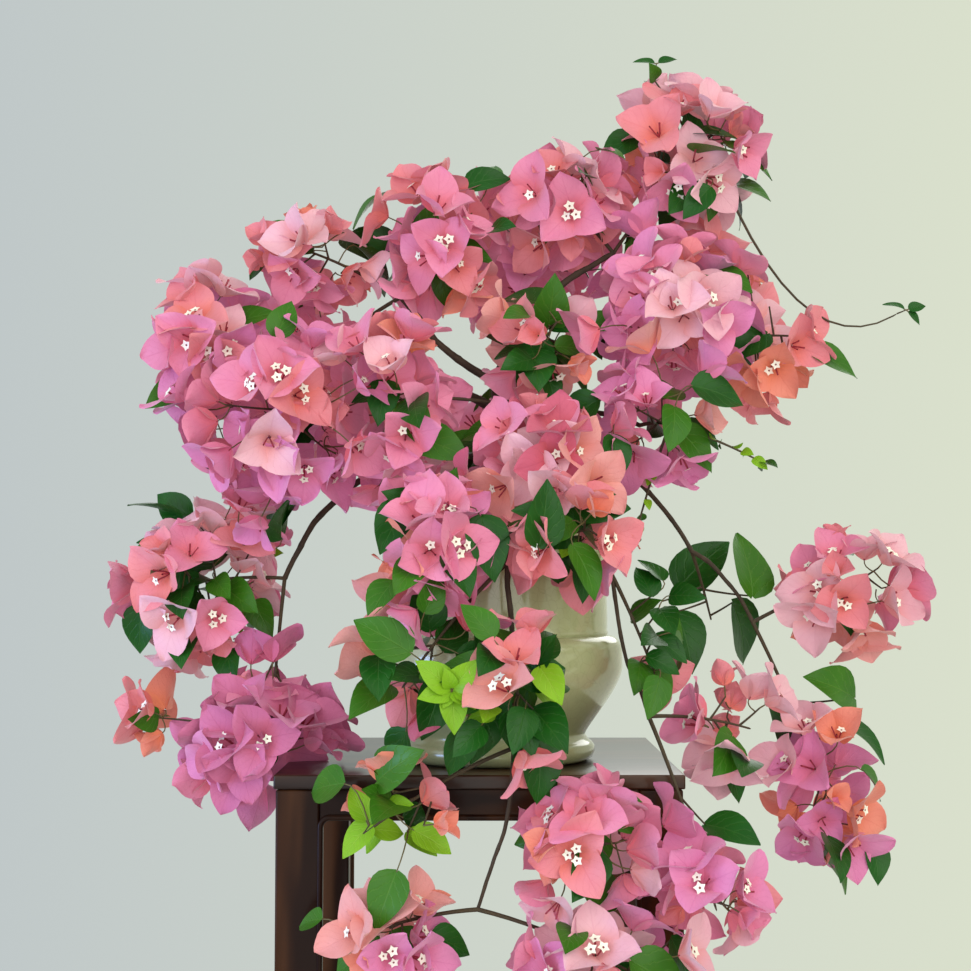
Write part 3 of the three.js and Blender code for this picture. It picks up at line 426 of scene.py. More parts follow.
masses = [prepare(*row) for row in MASSES]
by_name = {mass.name: mass for mass in masses}
for mass in masses:
    others = [other for other in masses if other is not mass]
    apart = np.array([other.middle - mass.middle for other in others])
    distance = norm(apart, axis=1)
    sizes = np.array([other.size for other in others])
    mass.walls = apart / distance[:, None]
    mass.wall_shares = (distance**2 + mass.size**2 - sizes**2) / (2 * distance)
    mass.others = others
print("masses:", len(masses))
print("blossom twigs wanted:", sum(mass.wanted["blossom"] for mass in masses))

# %% [markdown]
# ## What a twig has to keep clear of
# Limbs and stems are turned into rows of beads. A twig or a blade fits if it stays in its own
# space, off the pot and the board, and off every bead that isn't its own.

# %% Beads and clearances
STEM_RADIUS, TWIG_RADIUS = 2.3, 1.3
BEAD_SPACING, FAR_AWAY = 5, 10
CELL_MARGIN, LIMB_CLEARANCE, POT_CLEARANCE = 1.5, 2, 3
STAND_MIDDLE, STAND_WIDTH = np.array([-15.5, 50.0]), 400.0
NECK_HEIGHT, BODY_RADIUS, NECK_RADIUS = 131.0, 135.5, 119.5

bead_rows = [(curve, max(radii), name) for name, (curve, radii) in limbs.items()]
for mass in masses:
    bead_rows.append((mass.stem, STEM_RADIUS, mass.name))
    bead_rows += [(line.curve, TWIG_RADIUS, mass.name) for line in mass.runners]
bead_places, bead_radii, bead_owners = [], [], []
for curve, radius, owner in bead_rows:
    count = math.ceil(length_of(curve) / BEAD_SPACING)
    bead_places.append(along(curve, np.arange(count + 1) / count))
    bead_radii += [radius] * (count + 1)
    bead_owners += [owner] * (count + 1)
bead_places = np.concatenate(bead_places)
bead_radii, bead_owners = np.array(bead_radii), np.array(bead_owners)
for mass in masses:
    foreign = bead_owners != mass.name
    mass.bead_places, mass.bead_radii = bead_places[foreign], bead_radii[foreign]


def in_cell(mass, places):
    return bool(((places - mass.middle) @ mass.walls.T < mass.wall_shares - CELL_MARGIN).all())


def in_reach(mass, places, share=1.0):
    return (((places - mass.middle) / (mass.half * share)) ** 2).sum(axis=1) < 1


def clear_of_pot(places):
    x, y, z = np.atleast_2d(places).T
    height = z - STAND_HEIGHT
    reach = STAND_WIDTH / 2 + POT_CLEARANCE
    beside = (abs(x - STAND_MIDDLE[0]) < reach) & (abs(y - STAND_MIDDLE[1]) < reach)
    radius = np.where(height < NECK_HEIGHT, BODY_RADIUS, NECK_RADIUS) + POT_CLEARANCE
    level = (height > -1) & (height < POT_HEIGHT + POT_CLEARANCE)
    touching = (height < POT_CLEARANCE) & beside | level & (np.hypot(x, y) < radius)
    return not touching.any()


def distance_to_line(places, start, end):
    span = end - start
    share = np.clip((places - start) @ span / (span @ span), 0, 1)
    return norm(places - start - share[:, None] * span, axis=1)


def distance_to_panel(places, corners):
    first, second, third = corners
    normal = unit(np.cross(second - first, third - first))
    pairs = [(first, second), (second, third), (third, first)]
    over = np.all([(places - a) @ np.cross(normal, b - a) >= 0 for a, b in pairs], axis=0)
    edges = np.min([distance_to_line(places, a, b) for a, b in pairs], axis=0)
    return np.where(over, abs((places - first) @ normal), edges)


def blade_clear(mass, blade):
    outline, middle = blade.outline, blade.middle
    following = np.roll(outline, -1, axis=0)
    checked = np.vstack([outline, (outline + following) / 2, (outline + middle) / 2, middle])
    if not clear_of_pot(checked):
        return False
    span = norm(outline - middle, axis=1).max()
    away = norm(mass.bead_places - middle, axis=1) - span
    near = away <= FAR_AWAY
    if near.any():
        panels = [(a, b, middle) for a, b in zip(outline, following)]
        away[near] = np.min([distance_to_panel(mass.bead_places[near], p) for p in panels], axis=0)
    return bool((away > mass.bead_radii + LIMB_CLEARANCE).all())


def twig_clear(mass, root, end):
    steps = math.ceil(norm(end - root) / BEAD_SPACING)
    places = root + (end - root) * (np.arange(steps + 1) / steps)[:, None]
    if not (in_cell(mass, places) and clear_of_pot(places)):
        return False
    away = distance_to_line(mass.bead_places, root, end)
    return bool((away > mass.bead_radii + TWIG_RADIUS + LIMB_CLEARANCE).all())


def fits(mass, blade):
    corners = np.vstack([blade.outline, blade.middle])
    if not (in_reach(mass, corners).all() and in_cell(mass, corners)):
        return False
    for other in mass.blades:
        if norm(other.hub - blade.hub) <= SPREAD * (other.hub_radius + blade.hub_radius):
            return False
    return blade_clear(mass, blade)


print("beads:", len(bead_places))

# %% [markdown]
# ## Blades
# A spray of blossom and a leaf are first only outlines: six corners round a shallow cup, or four
# corners folded along a rib. They are enough to test whether a spray has room. Testing the full
# meshes would do the same far more slowly.

# %% Blades
SPREAD = 0.92
BLOSSOM_RADIUS, BLOSSOM_DEPTH, BLOSSOM_THICKNESS = 42, 26, 2.4
NOTCH_RADIUS, NOTCH_DEPTH = 0.74, 0.5
LEAF_LENGTH, LEAF_WIDTH = 64, 44
LEAF_WIDEST, LEAF_FOLD, LEAF_DROOP = 0.4, 0.12, 0.14
STALK_LENGTH = 8
# The hub, which keeps others away, is at this share of a blade and reaches this share of it.
BLOSSOM_HUB, LEAF_HUB = 0.6, 0.35


def crossways(heading):
    reference = UP if abs(heading[2]) < 0.9 else SIDEWAYS
    first = unit(np.cross(heading, reference))
    return first, unit(np.cross(heading, first))


def spoke(axes, angle):
    """A direction square to a heading, turned about it by an angle."""
    return axes[0] * math.cos(angle) + axes[1] * math.sin(angle)


def blossom_blade(root, heading, spin, scale):
    axes = crossways(heading)
    outline = []
    for k in range(6):
        angle = spin + k * math.pi / 3
        radius = BLOSSOM_RADIUS * scale * (NOTCH_RADIUS if k % 2 else 1)
        depth = BLOSSOM_DEPTH * scale * (NOTCH_DEPTH if k % 2 else 1)
        outline.append(root + heading * depth + spoke(axes, angle) * radius)
    middle = root + heading * BLOSSOM_THICKNESS
    hub = root + heading * BLOSSOM_HUB * BLOSSOM_DEPTH * scale
    return SimpleNamespace(root=root, heading=heading, spin=spin, scale=scale, middle=middle,
                           outline=np.array(outline), hub=hub, on_runner=False,
                           hub_radius=BLOSSOM_HUB * BLOSSOM_RADIUS * scale)


def leaf_blade(root, heading, face, scale):
    length, width = LEAF_LENGTH * scale, LEAF_WIDTH * scale
    side = unit(np.cross(heading, face))
    middle = root + heading * LEAF_WIDEST * length
    right = middle + side * width / 2 + face * LEAF_FOLD * width
    left = middle - side * width / 2 + face * LEAF_FOLD * width
    tip = root + heading * length - face * LEAF_DROOP * length
    return SimpleNamespace(root=root, heading=heading, face=face, scale=scale, middle=middle,
                           outline=np.array([root, right, tip, left]), hub=middle,
                           hub_radius=LEAF_HUB * length)


# %% [markdown]
# ## Growing the twigs
# The solids grow by a fixed rule from a fixed stream of numbers, so the same rule here puts
# every spray where its solid is. A scatter tool would be quicker to set up, but its sprays
# would hang beside their twigs.

# %% Growing one twig
TRIES_PER_TWIG = 5
REACH_SHARES = (0.8, 0.7, 0.6, 0.5, 0.4, 0.3)
GOLDEN_ANGLE = math.pi * (3 - math.sqrt(5))
HEIGHT_TURN = 0.7548776662
LIFT = {"blossom": 0.25, "leafy": -0.3}
SHIFT = {"blossom": 0.7, "leafy": 1.6}
FIRST_ROOT = 0.4
SMALLEST, SIZE_SPREAD, TURN_SPREAD = 0.88, 0.24, 0.5
# A side leaf leans more out than along its twig; each next one is turned and sits further up.
ALONG_TWIG, OUT_OF_TWIG = 0.6, 0.9
LEAF_TURN, LEAF_START, LEAF_STEP = 0.45, 0.5, 0.3
SIDE_LEAF_SIZE, SIDE_LEAF_SPREAD = 0.7, 0.25
STREAM_FACTOR, STREAM_LIMIT = 16807, 2147483647


def even_stream(seed):
    """Numbers from 0 to 1, the same ones each time; the solids use the same stream."""
    state = seed
    while True:
        state = state * STREAM_FACTOR % STREAM_LIMIT
        yield state / STREAM_LIMIT


def add_leaf(mass, start, lean, face, scale, is_free):
    blade = leaf_blade(start + lean * STALK_LENGTH * scale, lean, face, scale)
    if is_free(mass, blade):
        mass.blades.append(blade)
        mass.leaves.append((start, blade))


def add_side_leaves(mass, root, end, count, turn, size):
    heading = unit(end - root)
    axes = crossways(heading)
    for k in range(count):
        outward = spoke(axes, (turn + k * LEAF_TURN) * TURN)
        lean = unit(heading * ALONG_TWIG + outward * OUT_OF_TWIG)
        face = unit(heading * OUT_OF_TWIG - outward * ALONG_TWIG)
        scale = mass.blade_scale * (SIDE_LEAF_SIZE + SIDE_LEAF_SPREAD * size)
        start = root + (end - root) * (LEAF_START + LEAF_STEP * k)
        add_leaf(mass, start, lean, face, scale, fits)


def grow_twig(mass, index, kind, draws):
    """Sends a twig out evenly round the mass, as far as there is room; True if there was any."""
    jitter, *off, spin, size, leaf_turn, leaf_size = draws
    height = 1 - 2 * ((0.5 + index * HEIGHT_TURN) % 1)
    turn = index * GOLDEN_ANGLE + mass.turn + (jitter - 0.5) * TURN_SPREAD
    level = math.sqrt(1 - height * height)
    outward = np.array([level * math.cos(turn), level * math.sin(turn), height])
    forward = 0.5 + 0.5 * outward @ heading_at_tip(mass.stem)
    root = along(mass.stem, FIRST_ROOT + (1 - FIRST_ROOT) * forward)
    heading = unit(outward + UP * LIFT[kind] + (np.array(off) - 0.5) * SHIFT[kind])
    scale = mass.blade_scale * (SMALLEST + SIZE_SPREAD * size)
    face = unit(np.cross(crossways(heading)[0], heading))
    backed = 0 if kind == "blossom" else LEAF_WIDEST * LEAF_LENGTH * scale
    for reach in REACH_SHARES:
        end = mass.middle + mass.half * outward * reach - heading * backed
        if kind == "blossom":
            blade = blossom_blade(end, heading, spin * TURN, scale)
        else:
            blade = leaf_blade(end, heading, face, scale)
        if fits(mass, blade) and twig_clear(mass, root, end):
            mass.blades.append(blade)
            mass.twigs.append((root, end))
            if kind == "blossom":
                mass.sprays.append(blade)
            else:
                mass.leaves.append((end, blade))
            side_leaves = 1 if kind == "blossom" else 2
            add_side_leaves(mass, root, end, side_leaves, leaf_turn, leaf_size)
            return True
    return False


# %% Growing every mass
# Leaves stand in pairs along a runner, from its tip backward.
PAIR_START, PAIR_STEP, RUNNER_LEAN = 0.98, 0.22, 0.45
RUNNER_SPRAY = {"spin": 0.4, "scale": 0.85}
# In a mass of this size blades have their full size.
FULL_SIZE, SMALLEST_SCALE = 82, 0.7
SEED_STEP, SEED_START = 7919, 104729


def grow_runner(mass, line):
    heading = heading_at_tip(line.curve)
    first, second = crossways(heading)

    def is_free(owner, blade):
        outside = not any(in_reach(other, blade.outline).any() for other in owner.others)
        return outside and blade_clear(owner, blade)

    for k in range(line.leaves):
        lean = unit(heading * RUNNER_LEAN + first * (1 if k % 2 == 0 else -1))
        start = along(line.curve, PAIR_START - PAIR_STEP * (k // 2))
        add_leaf(mass, start, lean, second, line.size, is_free)
    if line.blossom:
        mass.sprays.append(blossom_blade(line.tip + heading * 2, heading, **RUNNER_SPRAY))
        mass.sprays[-1].on_runner = True


for index, mass in enumerate(masses):
    stream = even_stream((index + 1) * SEED_STEP + SEED_START)
    next(stream)
    mass.turn = next(stream) * TURN
    mass.blade_scale = min(1.0, max(SMALLEST_SCALE, mass.size / FULL_SIZE))
    count = sum(mass.wanted.values())
    leafy_share = mass.wanted["leafy"] / count
    grown = {"blossom": 0, "leafy": 0}
    for k in range(TRIES_PER_TWIG * count):
        draws = [next(stream) for _ in range(8)]
        leaf_turn = math.floor((k + 1) * leafy_share) > math.floor(k * leafy_share)
        full = grown["blossom"] == mass.wanted["blossom"]
        is_leafy = full or (leaf_turn and grown["leafy"] < mass.wanted["leafy"])
        kind = "leafy" if is_leafy else "blossom"
        if grown[kind] < mass.wanted[kind] and grow_twig(mass, k, kind, draws):
            grown[kind] += 1
    for line in mass.runners:
        grow_runner(mass, line)
print("sprays:", sum(len(mass.sprays) for mass in masses))
print("leaves of the solids:", sum(len(mass.leaves) for mass in masses))

# %% [markdown]
# ## Finer twigs
# A real mass has three or four blossoms to each spray and many short side twigs. A second pass
# adds these between the sprays, each from the nearest twig of its own mass, and leaves the same
# gaps for the sky.

# %% How much grows between the sprays
# For each mass: how many blossoms and how many leaves to put between its sprays.
SIDE = {
    "peak": (9, 20), "crown": (12, 6), "upper_left": (9, 10), "left_shoulder": (2, 6),
    "back_left": (12, 12), "left_edge": (9, 2), "left_heart": (22, 2), "left_low": (7, 30),
    "left_tail": (23, 4), "right_heart": (14, 0), "right_edge": (0, 3), "back_right": (12, 14),
    "right_under": (5, 4), "breast_left": (12, 7), "breast_right": (12, 8), "centre": (0, 18),
    "back_top": (12, 14), "back_low": (12, 16), "back_pot": (12, 18), "rim_left": (9, 15),
    "rim_right": (5, 14), "pot_left": (3, 13), "pot_front": (2, 24), "skirt_left": (1, 8),
    "skirt_right": (7, 2), "low_left": (0, 3), "low_middle": (7, 3), "pot_right": (0, 8),
    "right_hang": (0, 3), "low_right": (0, 1), "cane_leaves": (0, 6), "right_arm": (2, 1),
    "right_fall": (4, 4),
}

# %% Where there is room
# These masses hang loose; the others close up to their neighbours, so far out of their reach.
LOOSE = ("cane_leaves", "pot_right", "right_fall", "pot_front")
JOINED_REACH, NEIGHBOUR_REACH = 1.22, 1.1
# The gaps where the photograph shows the wall, as left, right, bottom and top seen from the front.
WINDOWS = np.array([[-61, 19, 847, 963], [-345, -160, 532, 574], [140, 250, 700, 790],
                    [115, 160, 470, 640], [262, 420, 528, 560]])
hubs = [blade.hub for mass in masses for blade in mass.blades]
hub_radii = [blade.hub_radius for mass in masses for blade in mass.blades]


def nearest_on_twigs(mass, place):
    """The nearest point of the mass's own stem and twigs."""
    stem = [along(mass.stem, share) for share in (0.2, 0.4, 0.6, 0.8, 1.0)]
    spots = []
    for start, end in [*zip(stem, stem[1:]), *mass.twigs]:
        span = end - start
        spots.append(start + span * np.clip((place - start) @ span / (span @ span), 0, 0.9))
    return min(spots, key=lambda spot: norm(place - spot))


def share_of_reach(mass, place):
    return float(norm((place - mass.middle) / mass.half))


def in_joined_reach(mass, place, own_share):
    """In the mass's own reach, or in the gap between it and a neighbour."""
    own = share_of_reach(mass, place)
    if own < own_share:
        return True
    if own > JOINED_REACH or mass.name in LOOSE:
        return False
    neighbours = [other for other in mass.others if other.name not in LOOSE]
    return any(share_of_reach(other, place) < NEIGHBOUR_REACH for other in neighbours)


def in_gaps(gaps, place):
    x, _, z = place
    left, right, bottom, top = gaps.T
    return bool(((left < x) & (x < right) & (bottom < z) & (z < top)).any())


def has_room(blade, spacing):
    away = norm(np.array(hubs) - blade.hub, axis=1)
    return bool((away > spacing * (np.array(hub_radii) + blade.hub_radius)).all())


# %% Side blossoms and side leaves
# How far out in the mass, rise, looseness of lean, share of the mass's reach to keep to, distance
# to others, and how far back the stalk forks off.
BLOSSOM_RULE = SimpleNamespace(out=(0.4, 1.25), rise=0.2, loose=0.9, reach=0.84, spacing=0.6,
                               fork=20, scales=(0.76, 0.9))
LEAF_RULE = SimpleNamespace(out=(0.3, 1.25), rise=-0.35, loose=1.4, reach=0.96, spacing=0.42,
                            fork=12, scales=(0.55, 0.98))
LEAF_SCALES = {"cane_leaves": (0.85, 1.0), "pot_right": (0.7, 1.0)}
SHORTEST_STALK, SIDE_TRIES = 6, 700
FACE_LOOSE, FACE_FRONT = 0.9, np.array([0.0, 0.25, 0.0])
# The leaves of the right cane hang side by side, so their headings are flattened to the picture.
FLATTENED = np.array([1.0, 0.25, 1.0])


def aside(draw, spread):
    return (draw.random(3) - 0.5) * spread


def keep(mass, blade):
    mass.blades.append(blade)
    hubs.append(blade.hub)
    hub_radii.append(blade.hub_radius)


def has_place(mass, blade, rule):
    return in_joined_reach(mass, blade.hub, rule.reach) and has_room(blade, rule.spacing)


def add_side_blossom(mass, draw, rule=BLOSSOM_RULE):
    outward = unit(draw.normal(size=3))
    place = mass.middle + mass.half * outward * draw.uniform(*rule.out)
    heading = unit(outward + UP * rule.rise + aside(draw, rule.loose))
    spin, scale = draw.uniform(0, TURN), draw.uniform(*rule.scales)
    blade = blossom_blade(place, heading, spin, scale)
    if has_place(mass, blade, rule) and not in_gaps(WINDOWS, blade.hub):
        start = nearest_on_twigs(mass, place - heading * rule.fork)
        if norm(start - place) >= SHORTEST_STALK and blade_clear(mass, blade):
            keep(mass, blade)
            mass.side_blossoms.append((start, blade))


def add_side_leaf(mass, draw, rule=LEAF_RULE):
    outward = unit(draw.normal(size=3))
    scale = draw.uniform(*LEAF_SCALES.get(mass.name, rule.scales))
    heading = unit(outward + UP * rule.rise + aside(draw, rule.loose))
    if mass.name == "cane_leaves":
        heading = unit(heading * FLATTENED)
    place = mass.middle + mass.half * outward * draw.uniform(*rule.out)
    root = place - heading * LEAF_WIDEST * LEAF_LENGTH * scale
    face = unit(np.cross(crossways(heading)[0], heading))
    face = unit(face + aside(draw, FACE_LOOSE) - FACE_FRONT)
    face = unit(face - heading * (face @ heading))
    blade = leaf_blade(root, heading, face, scale)
    if has_place(mass, blade, rule) and blade_clear(mass, blade):
        keep(mass, blade)
        mass.leaves.append((nearest_on_twigs(mass, root - heading * rule.fork), blade))


for index, mass in enumerate(masses):
    draw = np.random.default_rng(500 + index)
    mass.side_blossoms = []
    blossoms, leaves = SIDE[mass.name]
    leaves += len(mass.leaves)
    for _ in range(SIDE_TRIES):
        if len(mass.side_blossoms) < blossoms:
            add_side_blossom(mass, draw)
        if len(mass.leaves) < leaves:
            add_side_leaf(mass, draw)
print("side blossoms:", sum(len(mass.side_blossoms) for mass in masses), "wanted:",
      sum(blossoms for blossoms, _ in SIDE.values()))
print("leaves in all:", sum(len(mass.leaves) for mass in masses))

# %% [markdown]
# ## The shape of a bract
# What looks like a petal is a bract: a papery leaf round the real flower. It is ovate with a
# drawn-out point, folded a little along its rib and wavy at its margin. A few variants of one
# grid are enough, because each is turned, opened and scaled on its own.

# %% Bracts
BRACT_ROWS = np.array([0.0, 0.05, 0.13, 0.24, 0.36, 0.48, 0.6, 0.71, 0.81, 0.9, 0.96, 1.0])
BRACT_HALF_WIDTHS = (0.14, 0.46, 0.76, 0.95, 1.02, 1.0, 0.92, 0.78, 0.58, 0.33, 0.15, 0.02)
BRACT_COLUMNS = np.linspace(-1, 1, 7)
BRACT_LENGTH, BRACT_HALF_WIDTH = 51.0, 22.0
# How far a bract leans out at its root and at its tip, in degrees: closed, and more when open.
LEAN_CLOSED, LEAN_MORE = np.array([16, 40]), np.array([30, 50])
# The fold along the rib and how much of it the curl takes back, as shares of the half width; then
# the margin's wave, the creases, the tip's sway and the hole in the middle, in millimetres.
KEEL, CURL, WAVE, CREASE, SWAY, HOLE = 0.34, 0.42, 3.4, 1.3, 1.6, 1.2
BRACT_FACES = grid_faces(len(BRACT_ROWS), len(BRACT_COLUMNS))
BRACT_FLAT = np.array([[(u + 1) / 2, v] for v in BRACT_ROWS for u in BRACT_COLUMNS])


def bract_grid(draw, opening):
    """Points as sideways, outward and up from the middle of the blossom."""
    start, end = np.radians(LEAN_CLOSED + LEAN_MORE * opening)
    lean = start + (end - start) * BRACT_ROWS**0.8
    steps = np.diff(BRACT_ROWS, prepend=0) * BRACT_LENGTH
    out = HOLE + np.cumsum(steps * np.sin(lean))
    up = np.cumsum(steps * np.cos(lean))
    phase = draw.uniform(0, TURN, 4)
    curl = draw.uniform(-0.5, 0.9)
    points = []
    for row, share in enumerate(BRACT_ROWS):
        inward = np.array([0, -math.cos(lean[row]), math.sin(lean[row])])
        half = BRACT_HALF_WIDTH * BRACT_HALF_WIDTHS[row]
        for u in BRACT_COLUMNS:
            keel = (KEEL - CURL * curl * share) * abs(u) ** 1.4 * half
            wave = WAVE * u * u * math.sin(5.6 * share + phase[0] + (1.9 if u > 0 else 0))
            crease = CREASE * math.sin(7 * share + phase[1]) * math.sin(3.3 * u + phase[2])
            sway = SWAY * math.sin(2.6 * share + phase[3]) * share
            lift = (keel + (wave + crease) * min(1.0, 3 * share)) * (1 if share < 1 else 0.3)
            points.append(np.array([u * half + sway, out[row], up[row]]) + inward * lift)
    return np.array(points)


bract_draw = np.random.default_rng(71)
OPENINGS, VARIANTS = (0.1, 0.35, 0.6, 0.9), 8
bracts = {opening: [bract_grid(bract_draw, opening) for _ in range(VARIANTS)]
          for opening in OPENINGS}
print("bract variants:", sum(len(grids) for grids in bracts.values()))


# %% [markdown]
# ## Tubes for twigs
# A twig is a tapering tube along a gentle bend. A curve object with a bevel would do, but the
# tubes have to join the heap, so the rings are laid by hand and turned along the path.

# %% Tubes
def tube(path, radii, sides):
    tangents = np.gradient(path, axis=0)
    tangents /= norm(tangents, axis=1)[:, None]
    across = crossways(tangents[0])[0]
    angles = np.arange(sides) / sides * TURN
    rings = []
    for place, tangent, radius in zip(path, tangents, radii):
        across = unit(across - tangent * (across @ tangent))
        beside = np.cross(tangent, across)
        spokes = np.outer(np.cos(angles), across) + np.outer(np.sin(angles), beside)
        rings.append(place + spokes * (radius if np.isscalar(radius) else radius[:, None]))
    flat = [[k / sides, row / (len(path) - 1)] for row in range(len(path)) for k in range(sides)]
    return np.concatenate(rings), grid_faces(len(path), sides, closed=True), np.array(flat)


def add_twig(heap, start, end, radii, heading=None, sides=5, sag=0.06):
    """A bent twig. With a heading, it arrives at its end in that direction."""
    span = norm(end - start)
    level = (start + end) / 2 - UP * span * sag
    pull = level if heading is None else end - heading * span * 0.45
    shares = np.linspace(0, 1, 5)
    path = along((start, pull, end), shares)
    heap.add(*tube(path, radii[0] + (radii[1] - radii[0]) * shares, sides))


# %% [markdown]
# ## Blossoms
# One blossom is three bracts round up to three slim tubes, and an open tube ends in a small
# white star. Young ones at the middle of a spray are smaller, closed and more coral.

# %% Blossom parts
TONES = ("rose", "mauve", "coral", "salmon", "pale", "magenta", "deep", "orange")
heaps = {tone: Heap() for tone in TONES}
heaps.update({name: Heap() for name in ("star", "throat", "tube", "stalk", "twig")})
STAR_ANGLES = np.arange(10) / 10 * TURN
STAR_RADII = np.where(np.arange(10) % 2 == 0, 6.4, 3.9)
STAR_FLAT = np.repeat([[0.5, 0.0], [0.5, 1.0]], 10, axis=0)
STAR_HOLE, STAR_DEPTH, THROAT_RADIUS = 1.1, 0.9, 1.3
# Tubes stand round the middle and lean out a little; a bud that opens less than this hides them.
TUBE_RADII, TUBE_LENGTHS, TUBE_ASIDE, TUBE_LEAN = (0.8, 1.15), (15, 21), 1.6, 0.3
TUBES_SHOW = 0.3


def framed(grid, root, outward, heading):
    side = np.cross(outward, heading)
    return root + grid @ np.array([side, outward, heading])


def add_star(place, heading, size):
    first, second = crossways(heading)
    spokes = np.outer(np.cos(STAR_ANGLES), first) + np.outer(np.sin(STAR_ANGLES), second)
    inner = place + spokes * STAR_HOLE * size
    outer = place + spokes * (STAR_RADII * size)[:, None] + heading * STAR_DEPTH * size
    heaps["star"].add(np.vstack([inner, outer]), grid_faces(2, 10, closed=True), STAR_FLAT)
    # A dark red cap over the tube's mouth: partly the tube's own red, partly painted shade of its
    # hollow.
    rim = place + spokes[::2] * THROAT_RADIUS * size + heading * 0.15
    centre = np.vstack([rim, place + heading * 0.5])
    fan = [[k, (k + 1) % 5, 5] for k in range(5)]
    heaps["throat"].add(centre, fan, np.full((6, 2), 0.5))


def add_blossom(draw, root, heading, spin, size, opening, tone, open_flowers):
    axes, grids = crossways(heading), bracts[opening]
    for k in range(3):
        outward = spoke(axes, spin + k * TURN / 3 + draw.uniform(-0.12, 0.12))
        grid = grids[draw.integers(len(grids))] * size * draw.uniform(0.92, 1.06)
        heaps[tone].add(framed(grid, root, outward, heading), BRACT_FACES, BRACT_FLAT)
        if opening < TUBES_SHOW:
            continue
        stand = unit(heading + outward * TUBE_LEAN)
        base = root + outward * TUBE_ASIDE * size
        top = base + stand * draw.uniform(*TUBE_LENGTHS) * size
        add_twig(heaps["tube"], base, top, np.multiply(TUBE_RADII, size), sides=4, sag=0)
        if k < open_flowers:
            add_star(top, stand, size * draw.uniform(0.9, 1.1))


# %% [markdown]
# ## Tones and sprays
# On the real plant the tone changes from mass to mass: coral where it is young, magenta low on the
# left, rose and mauve elsewhere. The masses on the right are dealt more pale and salmon, partly
# their own tone and partly painted light from the right. A colour picture could hold all that, but
# it would say nothing about the back. So each spray is dealt one tone of its mass, from a short
# list.

# %% Tones by mass
# The extra pale and salmon in the lists of the masses on the right is partly painted light from the
# right.
DEALT = {
    "peak": "rose pale coral coral salmon pale", "crown": "coral coral rose rose salmon pale",
    "upper_left": "coral rose rose mauve", "left_shoulder": "coral rose rose coral pale",
    "back_left": "rose mauve rose coral", "left_edge": "mauve rose rose pale",
    "left_heart": "mauve mauve rose rose pale", "left_low": "rose pale coral rose pale",
    "left_tail": "magenta mauve magenta rose magenta", "right_heart": "mauve mauve rose pale rose",
    "right_edge": "coral rose pale orange salmon", "back_right": "mauve rose rose coral",
    "right_under": "mauve rose rose salmon", "breast_left": "rose rose pale coral",
    "breast_right": "rose deep pale rose salmon", "centre": "rose pale coral salmon",
    "back_top": "rose coral mauve rose", "back_low": "rose mauve rose pale",
    "back_pot": "rose mauve rose salmon", "rim_left": "rose mauve coral rose",
    "rim_right": "coral salmon coral rose", "pot_left": "deep salmon coral",
    "pot_front": "coral salmon coral", "skirt_left": "salmon coral orange",
    "skirt_right": "rose mauve pale rose coral", "low_left": "rose mauve salmon",
    "low_middle": "rose mauve pale coral pale", "pot_right": "coral salmon",
    "right_hang": "rose pale mauve pale", "low_right": "pale rose rose mauve",
    "cane_leaves": "coral salmon", "right_arm": "pale rose pale salmon",
    "right_fall": "rose pale mauve orange pale",
}
YOUNG = {"rose": "coral", "mauve": "rose", "coral": "orange", "salmon": "orange", "pale": "coral",
         "magenta": "magenta", "deep": "coral", "orange": "orange"}

# %% Sprays
# How many blossoms a spray has round its middle one.
COMMON_SATELLITES = 3
SATELLITES = {"pot_front": 0, "skirt_left": 0, "pot_right": 0, "cane_leaves": 0}
SATELLITES.update(dict.fromkeys(
    ("pot_left", "rim_right", "right_hang", "right_edge", "centre", "right_arm"), 1))
SATELLITES.update(dict.fromkeys(
    ("low_left", "left_low", "peak", "left_shoulder", "low_right", "low_middle"), 2))
FULL_SPRAYS, YOUNG_MIDDLES, CLOSED_BUDS, YOUNG_TONES = 0.4, 0.3, 0.16, 0.12
YOUNG_SIZE, BUD_SIZE = 0.62, 0.66
# Stalks, in millimetres: two thicknesses, the middle one's length when young and when open, how
# far out the others end, and the reach of their bracts ahead and outward.
STALK, THIN_STALK, YOUNG_STALK, OPEN_STALK, OUT_STALK = (0.9, 0.7), (0.8, 0.6), 12, 7, 18
BRACTS_AHEAD, BRACTS_OUT = 16, 33


def add_spray(draw, blade, tone, satellites):
    """Blossoms round the end of a twig: one in the middle and up to three that lean outward."""
    axes = crossways(blade.heading)
    middle_young = draw.random() < YOUNG_MIDDLES
    size = draw.uniform(0.86, 1.0)
    spot = blade.root + blade.heading * (YOUNG_STALK if middle_young else OPEN_STALK)
    add_twig(heaps["stalk"], blade.root, spot, STALK, sag=0)
    if middle_young:
        look = (size * YOUNG_SIZE, OPENINGS[0], YOUNG[tone], 0)
    else:
        look = (size, OPENINGS[2], tone, int(draw.choice([1, 2, 2, 3])))
    add_blossom(draw, spot, blade.heading, blade.spin, *look)
    if draw.random() > FULL_SPRAYS:
        satellites = min(satellites, 2)
    for k in range(satellites):
        outward = spoke(axes, blade.spin + (k + 0.5) * TURN / 3 + draw.uniform(-0.2, 0.2))
        lean = unit(blade.heading * 0.8 + outward * draw.uniform(0.5, 0.8))
        spot = blade.root + outward * OUT_STALK * blade.scale + blade.heading * draw.uniform(-7, 1)
        tips = spot + lean * BRACTS_AHEAD + np.outer([1, -0.7], outward) * BRACTS_OUT * size
        if not clear_of_pot(np.vstack([tips, spot])):
            continue
        add_twig(heaps["stalk"], blade.root - blade.heading * 6, spot, THIN_STALK, lean)
        closed = draw.random() < CLOSED_BUDS
        opening = OPENINGS[0] if closed else float(draw.choice(OPENINGS[1:]))
        own = YOUNG[tone] if closed or draw.random() < YOUNG_TONES else tone
        flowers = int(draw.choice([0, 1, 1, 2, 3]))
        reach = size * draw.uniform(0.85, 1.0) * (BUD_SIZE if closed else 1.0)
        add_blossom(draw, spot, lean, draw.uniform(0, 6.3), reach, opening, own, flowers)


